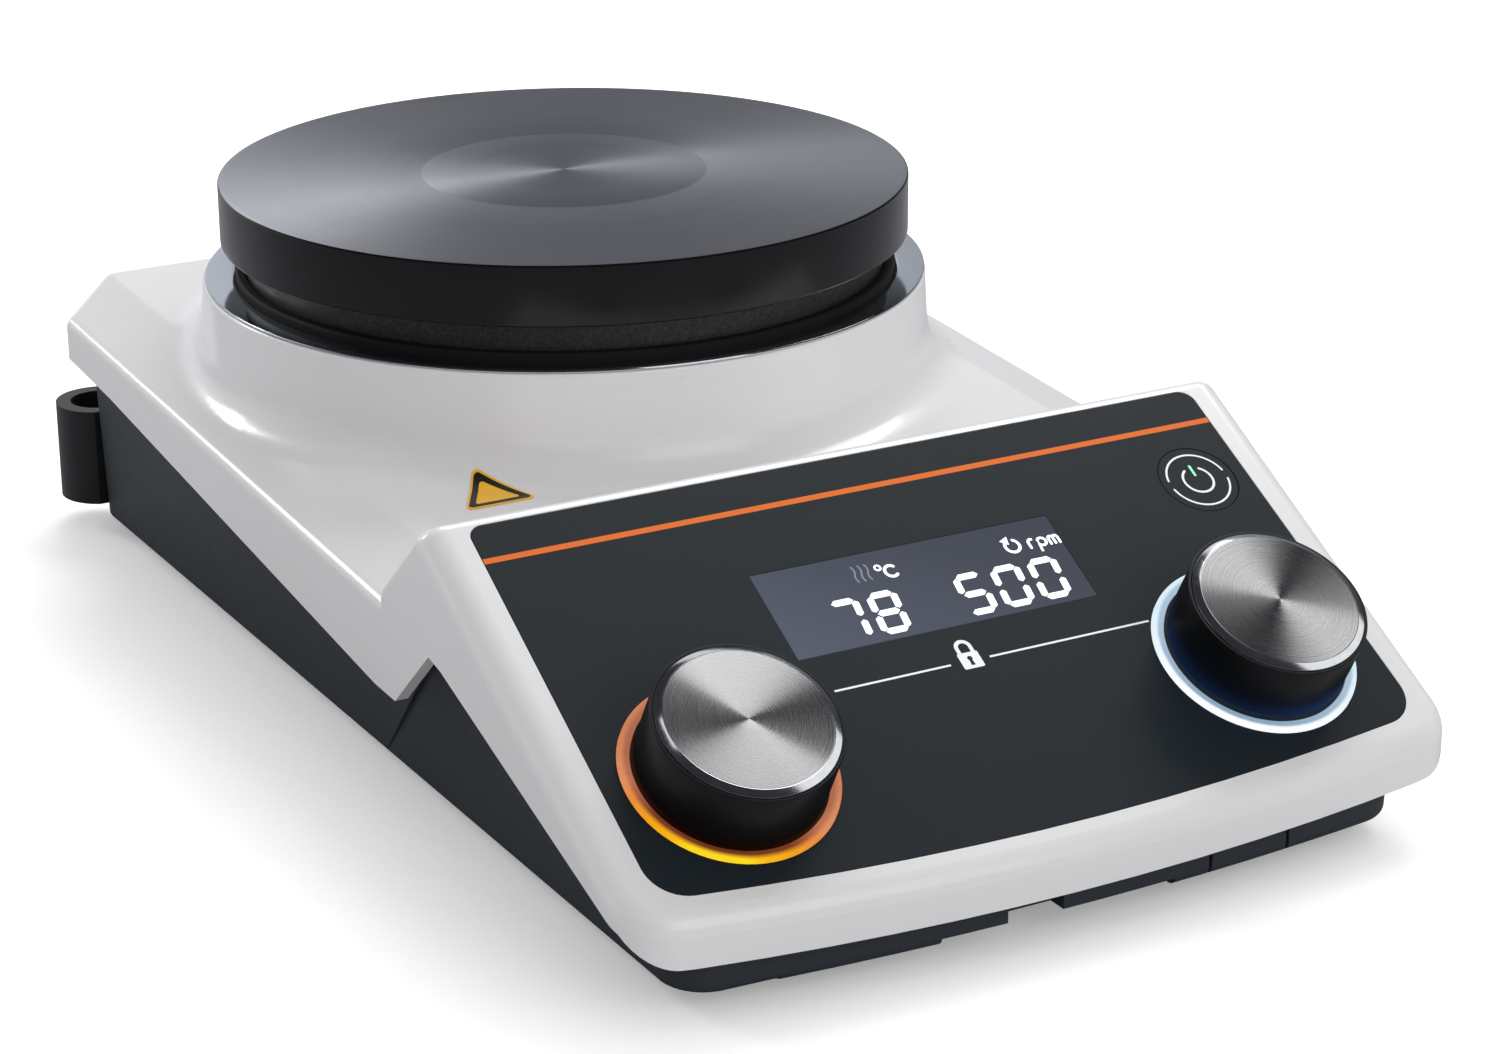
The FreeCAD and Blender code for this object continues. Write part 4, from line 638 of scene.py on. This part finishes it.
def padlock():
    case = rounded_rect(PADLOCK_U, 51.75, width=4.3, height=3.7, radius=0.35)
    bow, foot, top = 1.4, 50.0, 48.7    # shackle radius, lower end and arc centre height
    shackle = stroke([(PADLOCK_U - bow, foot)] + arc(PADLOCK_U, top, bow, 180, 360, 20)
                     + [(PADLOCK_U + bow, foot)], 0.78, round_ends=False)
    keyhole = arc(PADLOCK_U, 51.3, 0.52, 0, 345, 20)
    keyway = [(-0.42, 51.6), (0.12, 51.6), (0.28, 52.9), (-0.58, 52.9)]
    above = FILM_LAYER[1]
    printed("print_padlock",
            [([case, shackle], FILM_LAYER, 0),
             ([keyhole], (above + 0.002, above + 0.02), 1),
             ([keyway], (above + 0.002, above + 0.016), 1)],
            ["print_white", "print_dark"])


def power_symbol():
    """Two outer arcs and the open ring in white, the upright stem in green."""
    arcs = [stroke(arc(0, 0, radius, start, end, 60), width)
            for radius, start, end, width in ((6.45, 11, 171, 0.42), (6.45, 191, 351, 0.42),
                                              (3.15, 122, 418, 0.5))]
    stem = stroke([(0, 3.6), (0, 1.25)], 0.55)
    printed("print_power_symbol", [(arcs, KEY_LAYER, 0), ([stem], KEY_LAYER, 1)],
            ["print_white", "print_green"], body="power_button",
            matrix=PANEL @ Matrix.Translation((KEY_U * MM, -KEY_V * MM, 0)), y_sign=1)


accent_line()
lock_line()
padlock()
power_symbol()

# ---------------------------------------------------------------- display
DISPLAY_LAYER = (-0.024, -0.004)
# Bars: A top, B upper right, C lower right, D bottom, E lower left, F upper left, G middle
BARS = {"0": "ABCDEF", "5": "AFGCD", "7": "ABC", "8": "ABCDEFG"}
FIGURE_TOP = 32.5
FIGURE_HEIGHT = 9.9
FIGURE_PITCH = 8.1
BAR = 1.42          # bar thickness
GAP = 0.16          # set-back of a bar's ends
SLANT = 0.0945      # shift to the right per millimetre of height


def figure(character, left, width):
    """Outlines of one seven-segment figure."""
    half = BAR / 2
    tip = half * 0.4
    shoulder = BAR * 0.55
    middle = FIGURE_HEIGHT / 2
    top = half * 0.6
    bottom = FIGURE_HEIGHT - top
    right = width - half

    def across(y):
        a, b = GAP + BAR, width - GAP - BAR
        return [(GAP + half, y), (a, y - half), (b, y - half),
                (width - GAP - half, y), (b, y + half), (a, y + half)]

    def upright(x, y0, y1):
        a, b = y0 + GAP, y1 - GAP
        return [(x, a + tip), (x + half, a + shoulder), (x + half, b - shoulder),
                (x, b - tip), (x - half, b - shoulder), (x - half, a + shoulder)]

    bars = {"A": across(half), "G": across(middle), "D": across(FIGURE_HEIGHT - half),
            "F": upright(half, top, middle), "B": upright(right, top, middle),
            "E": upright(half, middle, bottom), "C": upright(right, middle, bottom)}
    return [[(left + x + SLANT * (FIGURE_HEIGHT - y), FIGURE_TOP + y) for x, y in bars[bar]]
            for bar in BARS[character]]


def display_print(name, outlines, material):
    printed(name, [(outlines, DISPLAY_LAYER, 0)], [material])


def display_figures():
    outlines = []
    for text, left, width in (("78", -21.7, 6.4), ("500", 4.9, 6.5)):
        for i, character in enumerate(text):
            outlines += figure(character, left + i * FIGURE_PITCH, width)
    display_print("display_figures", outlines, "lcd_lit")


def display_units():
    strokes = [
        # degree sign and C
        (arc(-7.05, 27.2, 0.58, 0, 340, 20), 0.42),
        (arc(-4.75, 28.5, 1.3, 48, 312, 30), 0.62),
        # r, p, and m in two strokes
        ([(25.15, 29.9), (25.15, 28.5)] + arc(25.85, 28.55, 0.62, 200, 290, 8), 0.58),
        ([(27.05, 31.0), (27.05, 28.9)] + arc(27.95, 28.95, 0.9, 180, 500, 24), 0.56),
        ([(29.62, 29.9), (29.62, 28.65)] + arc(30.12, 28.6, 0.5, 180, 360, 12)
         + [(30.62, 29.9)], 0.56),
        (arc(31.12, 28.6, 0.5, 190, 360, 12) + [(31.62, 29.9)], 0.56),
        # shaft of the circular arrow
        (arc(21.6, 28.6, 1.5, -62, 218, 40), 0.62),
    ]
    arrow_head = [(19.55, 27.0), (21.5, 26.2), (21.1, 28.2)]
    display_print("display_units",
                  [stroke(points, width) for points, width in strokes] + [arrow_head], "lcd_lit")


def heat_marks():
    """Three upright wavy lines."""
    top, height, sway, steps = 25.9, 3.6, 0.25, 12
    display_print("display_heat_marks", [
        stroke([(x + sway * math.sin(2 * math.pi * i / steps), top + height * i / steps)
                for i in range(steps + 1)], 0.36)
        for x in (-12.1, -10.7, -9.3)], "lcd_dim")


display_figures()
display_units()
heat_marks()

# ---------------------------------------------------------------- turned pieces
# Profiles: (radius, height) or (radius, height, corner radius)
GRIP_PROFILE = [
    (3.0, 2.0), (5.6, 2.0), (5.6, 9.8), (14.9, 9.8), (15.3, 1.3), (17.35, 1.3, 0.35),
    (17.35, 6.0), (17.30, 13.2), (17.24, 13.48, 0.10), (16.66, 13.48, 0.06), (16.62, 12.93),
    (0, 12.93), (0, 11.4), (3.0, 11.4)]
FACE_PROFILE = [
    (0, 12.95), (16.55, 12.95), (16.55, 13.62, 0.12), (15.25, 14.29, 0.10), (15.11, 14.27),
    (15.03, 14.32), (13.0, 14.325), (9, 14.33), (3, 14.33), (0.35, 14.33), (0, 14.30)]
GUIDE_PROFILE = [
    (15.0, -4.9), (18.8, -4.9), (18.8, -3.1), (21.0, -3.1), (21.0, -1.55), (19.95, -1.55),
    (19.95, 0.75, 0.42), (17.62, 0.75, 0.20), (17.62, -0.6), (15.0, -0.6)]
PLATE_PROFILE = [
    (0, 85.5), (51, 85.5, 0.3), (51, 81.5, 0.3), (72.5, 81.5, 0.5), (72.5, 93.99, 0.42),
    (71.2, 93.99), (60, 93.99), (45, 93.99), (30.25, 93.99), (30.12, 93.965),
    (29.98, 93.965), (29.85, 93.99), (20, 93.99), (10, 93.99), (3, 93.99), (0, 93.99)]
TRIM_PROFILE = [
    (69.95, 73.42), (76.0, 73.42), (76.06, 73.62, 0.08), (75.95, 73.92, 0.10),
    (70.6, 73.62, 0.25), (69.95, 73.50, 0.03)]


def knob(side, sign):
    """Grip, metal face and the light ring round them; returns the face."""
    place = PANEL @ Matrix.Translation((KNOB_U * sign * MM, -KNOB_V * MM, 0))
    dial = side + "_dial"
    lathe("knob_grip_" + side, GRIP_PROFILE, ["knob_body"], dial,
          "knob_" + side, place)
    face = lathe("knob_face_" + side, FACE_PROFILE, ["knob_face", "knob_rim"], dial,
                 "knob_cap_" + side, place, closed=False,
                 first_zone=(14.2, 15.17))
    lathe("light_guide_" + side, GUIDE_PROFILE, ["ring_" + side], "housing",
          "light_ring_" + side, place)
    return face


knob_faces = [knob("left", -1), knob("right", 1)]
plate = lathe("heating_plate_turned", PLATE_PROFILE, ["plate_top", "plate_edge"], "housing",
              "heating_plate", PLATE_AXIS, segments=384, closed=False,
              first_zone=(93.9, 72.2))
lathe("trim_ring_pressed", TRIM_PROFILE, ["polished_steel"], "housing",
      "trim_ring", PLATE_AXIS, segments=320)

# ---------------------------------------------------------------- caution triangle border
TRIANGLE_SIDE = 15.5
TRIANGLE_CENTER = Vector((-51.2, -25.2 + TRIANGLE_SIDE * math.sqrt(3) / 6))
BORDER_LAYER = (0.004, 0.03)    # bottom and top above the label


def rounded_triangle(inset, corner_radius, corner_steps=5, side_steps=14):
    """Points of the caution triangle, moved inwards by inset."""
    reach = TRIANGLE_SIDE / math.sqrt(3) - 2 * inset
    cx, cy = TRIANGLE_CENTER
    corners = [Vector((cx + reach * math.cos(math.radians(a)),
                       cy + reach * math.sin(math.radians(a)))) for a in (90, 210, 330)]
    cut = corner_radius / math.tan(math.radians(30))
    out = []
    for i, corner in enumerate(corners):
        following = corners[(i + 1) % 3]
        back = (corners[i - 1] - corner).normalized()
        ahead = (following - corner).normalized()
        center = corner + (back + ahead).normalized() * (
            corner_radius / math.sin(math.radians(30)))
        side_start = corner + ahead * cut
        side_end = following - ahead * cut
        out += [Vector(p) for p in arc_between(center, corner + back * cut, side_start,
                                               corner_radius, corner_steps)]
        out += [side_start.lerp(side_end, j / side_steps) for j in range(1, side_steps)]
    return out


def label_border():
    """Dark border laid on the surface of the yellow label."""
    mesh = CAD["triangle_label"].data
    tree = BVHTree.FromPolygons([v.co.copy() for v in mesh.vertices],
                                [tuple(p.vertices) for p in mesh.polygons])

    def surface_height(point):
        hit = tree.ray_cast(Vector((point.x * MM, point.y * MM, 0.2)), Vector((0, 0, -1)))
        return hit[0].z if hit[0] is not None else None

    outer = rounded_triangle(inset=0.42, corner_radius=0.75)
    inner = rounded_triangle(inset=1.62, corner_radius=0.55)
    outer_z = [surface_height(p) for p in outer]
    inner_z = [surface_height(p) for p in inner]
    # the border is left out if any point misses the label
    if None in outer_z + inner_z:
        return
    bm = bmesh.new()
    low_outer, low_inner, high_outer, high_inner = [
        [bm.verts.new((p.x * MM, p.y * MM, z + lift * MM)) for p, z in zip(points, heights)]
        for lift in BORDER_LAYER
        for points, heights in ((outer, outer_z), (inner, inner_z))]
    for i in range(len(outer)):
        j = (i + 1) % len(outer)
        bm.faces.new((high_outer[i], high_outer[j], high_inner[j], high_inner[i]))
        bm.faces.new((low_outer[i], low_inner[i], low_inner[j], low_outer[j]))
        bm.faces.new((low_outer[i], low_outer[j], high_outer[j], high_outer[i]))
        bm.faces.new((low_inner[i], high_inner[i], high_inner[j], low_inner[j]))
    link_mesh("label_border", bm, ["label_border"], "housing")


label_border()


# ---------------------------------------------------------------- studio
def floor_material():
    """White paper; camera, glossy and other rays each see their own tone."""
    mat = Material("floor")
    rays = mat.light_path()
    camera_ray = rays["Is Camera Ray"]
    paper = mat.noise(scale=30, detail=3)
    tone = mat.mix(camera_ray, (0.72, 0.71, 0.72, 1), (0.93, 0.925, 0.935, 1))
    paper_shader = mat.principled(
        Base_Color=mat.mix(rays["Is Glossy Ray"], tone, (0.30, 0.30, 0.32, 1)),
        Roughness=mat.spread(paper, 0.58, 0.62), Specular_IOR_Level=0.1,
        Emission_Color=(1, 1, 1, 1), Emission_Strength=mat.multiply(camera_ray, 0.28))
    # seen from underneath the floor lets the view through
    backfacing = mat.node("ShaderNodeNewGeometry").outputs["Backfacing"]
    clear = mat.node("ShaderNodeBsdfTransparent").outputs[0]
    mat.surface(mat.mix_shader(mat.multiply(backfacing, camera_ray), paper_shader, clear))


def studio_floor():
    half = 6
    bm = bmesh.new()
    bm.faces.new([bm.verts.new((x * half, y * half, 0))
                  for x, y in ((-1, -1), (1, -1), (1, 1), (-1, 1))])
    mesh = bpy.data.meshes.new("studio_floor")
    bm.to_mesh(mesh)
    bm.free()
    floor = bpy.data.objects.new("studio_floor", mesh)
    scene.collection.objects.link(floor)
    floor_material()
    mesh.materials.append(MATERIALS["floor"])


def area_light(name, location, size, power, pieces, state="INCLUDE", target=(0, -0.06, 0.06)):
    """Lamp that reaches only the listed pieces, or with EXCLUDE everything but them."""
    lamp = bpy.data.lights.new(name, "AREA")
    lamp.energy = power
    lamp.shape = "RECTANGLE"
    lamp.size, lamp.size_y = size
    light = bpy.data.objects.new(name, lamp)
    scene.collection.objects.link(light)
    light.location = location
    direction = Vector(target) - Vector(location)
    light.rotation_euler = direction.to_track_quat("-Z", "Y").to_euler()
    flags = bpy.data.collections.new("flags_" + name)
    for piece in pieces:
        flags.objects.link(piece)
    light.light_linking.receiver_collection = flags
    for entry in flags.collection_objects:
        entry.light_linking.link_state = state
    light.visible_camera = False


def lights():
    """Soft room light, and separate strips for the turned metal faces."""
    turned_faces = knob_faces + [plate]
    area_light("soft_key", (0.78, 0.80, 1.30), size=(1.5, 0.6), power=16,
               pieces=turned_faces, state="EXCLUDE", target=(0, 0, 0.05))
    area_light("soft_back_left", (-0.92, 1.6, 0.92), size=(0.45, 0.5), power=8,
               pieces=turned_faces, state="EXCLUDE", target=(0, 0.05, 0.06))
    area_light("soft_front", (0.45, -1.8, 0.9), size=(1.2, 1.2), power=6,
               pieces=turned_faces, state="EXCLUDE", target=(0, 0, 0.05))
    area_light("strip_front_right", (0.318, -0.251, 0.250), size=(0.45, 0.29), power=0.54,
               pieces=knob_faces)
    area_light("strip_top_right", (0.254, 0.104, 0.441), size=(0.22, 0.38), power=1.00,
               pieces=knob_faces)
    area_light("strip_knob_back", (0.15, 0.18, 0.27), size=(0.30, 0.09), power=0.085,
               pieces=knob_faces)
    area_light("card_top_left", (-0.200, -0.088, 0.51), size=(0.20, 0.07), power=0.060,
               pieces=knob_faces, target=(-0.0557, -0.130, 0.0465))
    area_light("strip_back", (0.058, 0.850, 0.471), size=(0.405, 0.111), power=0.74,
               pieces=[plate])


def studio_world():
    """Bright room for diffuse light, dark studio for reflections."""
    world = bpy.data.worlds.new("studio")
    scene.world = world
    sky = Graph(world, "ShaderNodeOutputWorld", "Generated")
    x, y, z = sky.axes()
    height = sky.remap(z, -1, 1)

    def background(color, strength):
        return sky.node("ShaderNodeBackground", {0: color, 1: strength}).outputs[0]

    # the left side of the room is darker
    room = sky.ramp(height, [(0.45, (0.62, 0.62, 0.65, 1)), (0.9, (0.95, 0.95, 0.96, 1))])
    from_left = sky.remap(x, -0.75, 0.10, 0.52, 1.0)
    room = sky.node("ShaderNodeVectorMath", {0: room, "Scale": from_left},
                    operation="SCALE").outputs[0]
    # low bright band behind the object, fading to the right
    dark = sky.ramp(height, [(0.50, (0.030, 0.032, 0.037, 1)), (0.98, (0.040, 0.041, 0.046, 1))])
    behind = sky.remap(y, 0.1, 0.75, smooth=True)
    low = sky.remap(z, 0.55, 0.20, smooth=True)
    fade_right = sky.remap(x, 0.85, 0.20, 0.15, 1.0, smooth=True)
    band = sky.multiply(sky.multiply(behind, low), fade_right)
    reflected = sky.mix(band, dark, (0.82, 0.86, 0.93, 1))
    sky.surface(sky.mix_shader(sky.light_path()["Is Glossy Ray"],
                               background(room, strength=0.98),
                               background(reflected, strength=1.0)))


def camera():
    """Camera at the front left, looking down to the rear right."""
    location = (-0.34227, -0.64245, 0.29838)
    yaw, pitch, roll = (math.radians(a) for a in (29.148, 20.309, -0.29))
    forward = Vector((math.sin(yaw) * math.cos(pitch), math.cos(yaw) * math.cos(pitch),
                      -math.sin(pitch)))
    level_right = Vector((math.cos(yaw), -math.sin(yaw), 0))
    level_up = Vector((math.sin(yaw) * math.sin(pitch), math.cos(yaw) * math.sin(pitch),
                       math.cos(pitch)))
    right = math.cos(roll) * level_right + math.sin(roll) * level_up
    up = -math.sin(roll) * level_right + math.cos(roll) * level_up
    data = bpy.data.cameras.new("camera")
    data.lens = 91.11
    data.sensor_width = 36.0
    data.clip_start = 0.01
    data.clip_end = 50
    ob = bpy.data.objects.new("camera", data)
    scene.collection.objects.link(ob)
    rows = [row for row in zip(right, up, -forward, location)]
    ob.matrix_world = Matrix(rows + [(0, 0, 0, 1)])
    scene.camera = ob


studio_floor()
lights()
studio_world()
camera()
scene.view_settings.view_transform = "Standard"
scene.view_settings.look = "None"
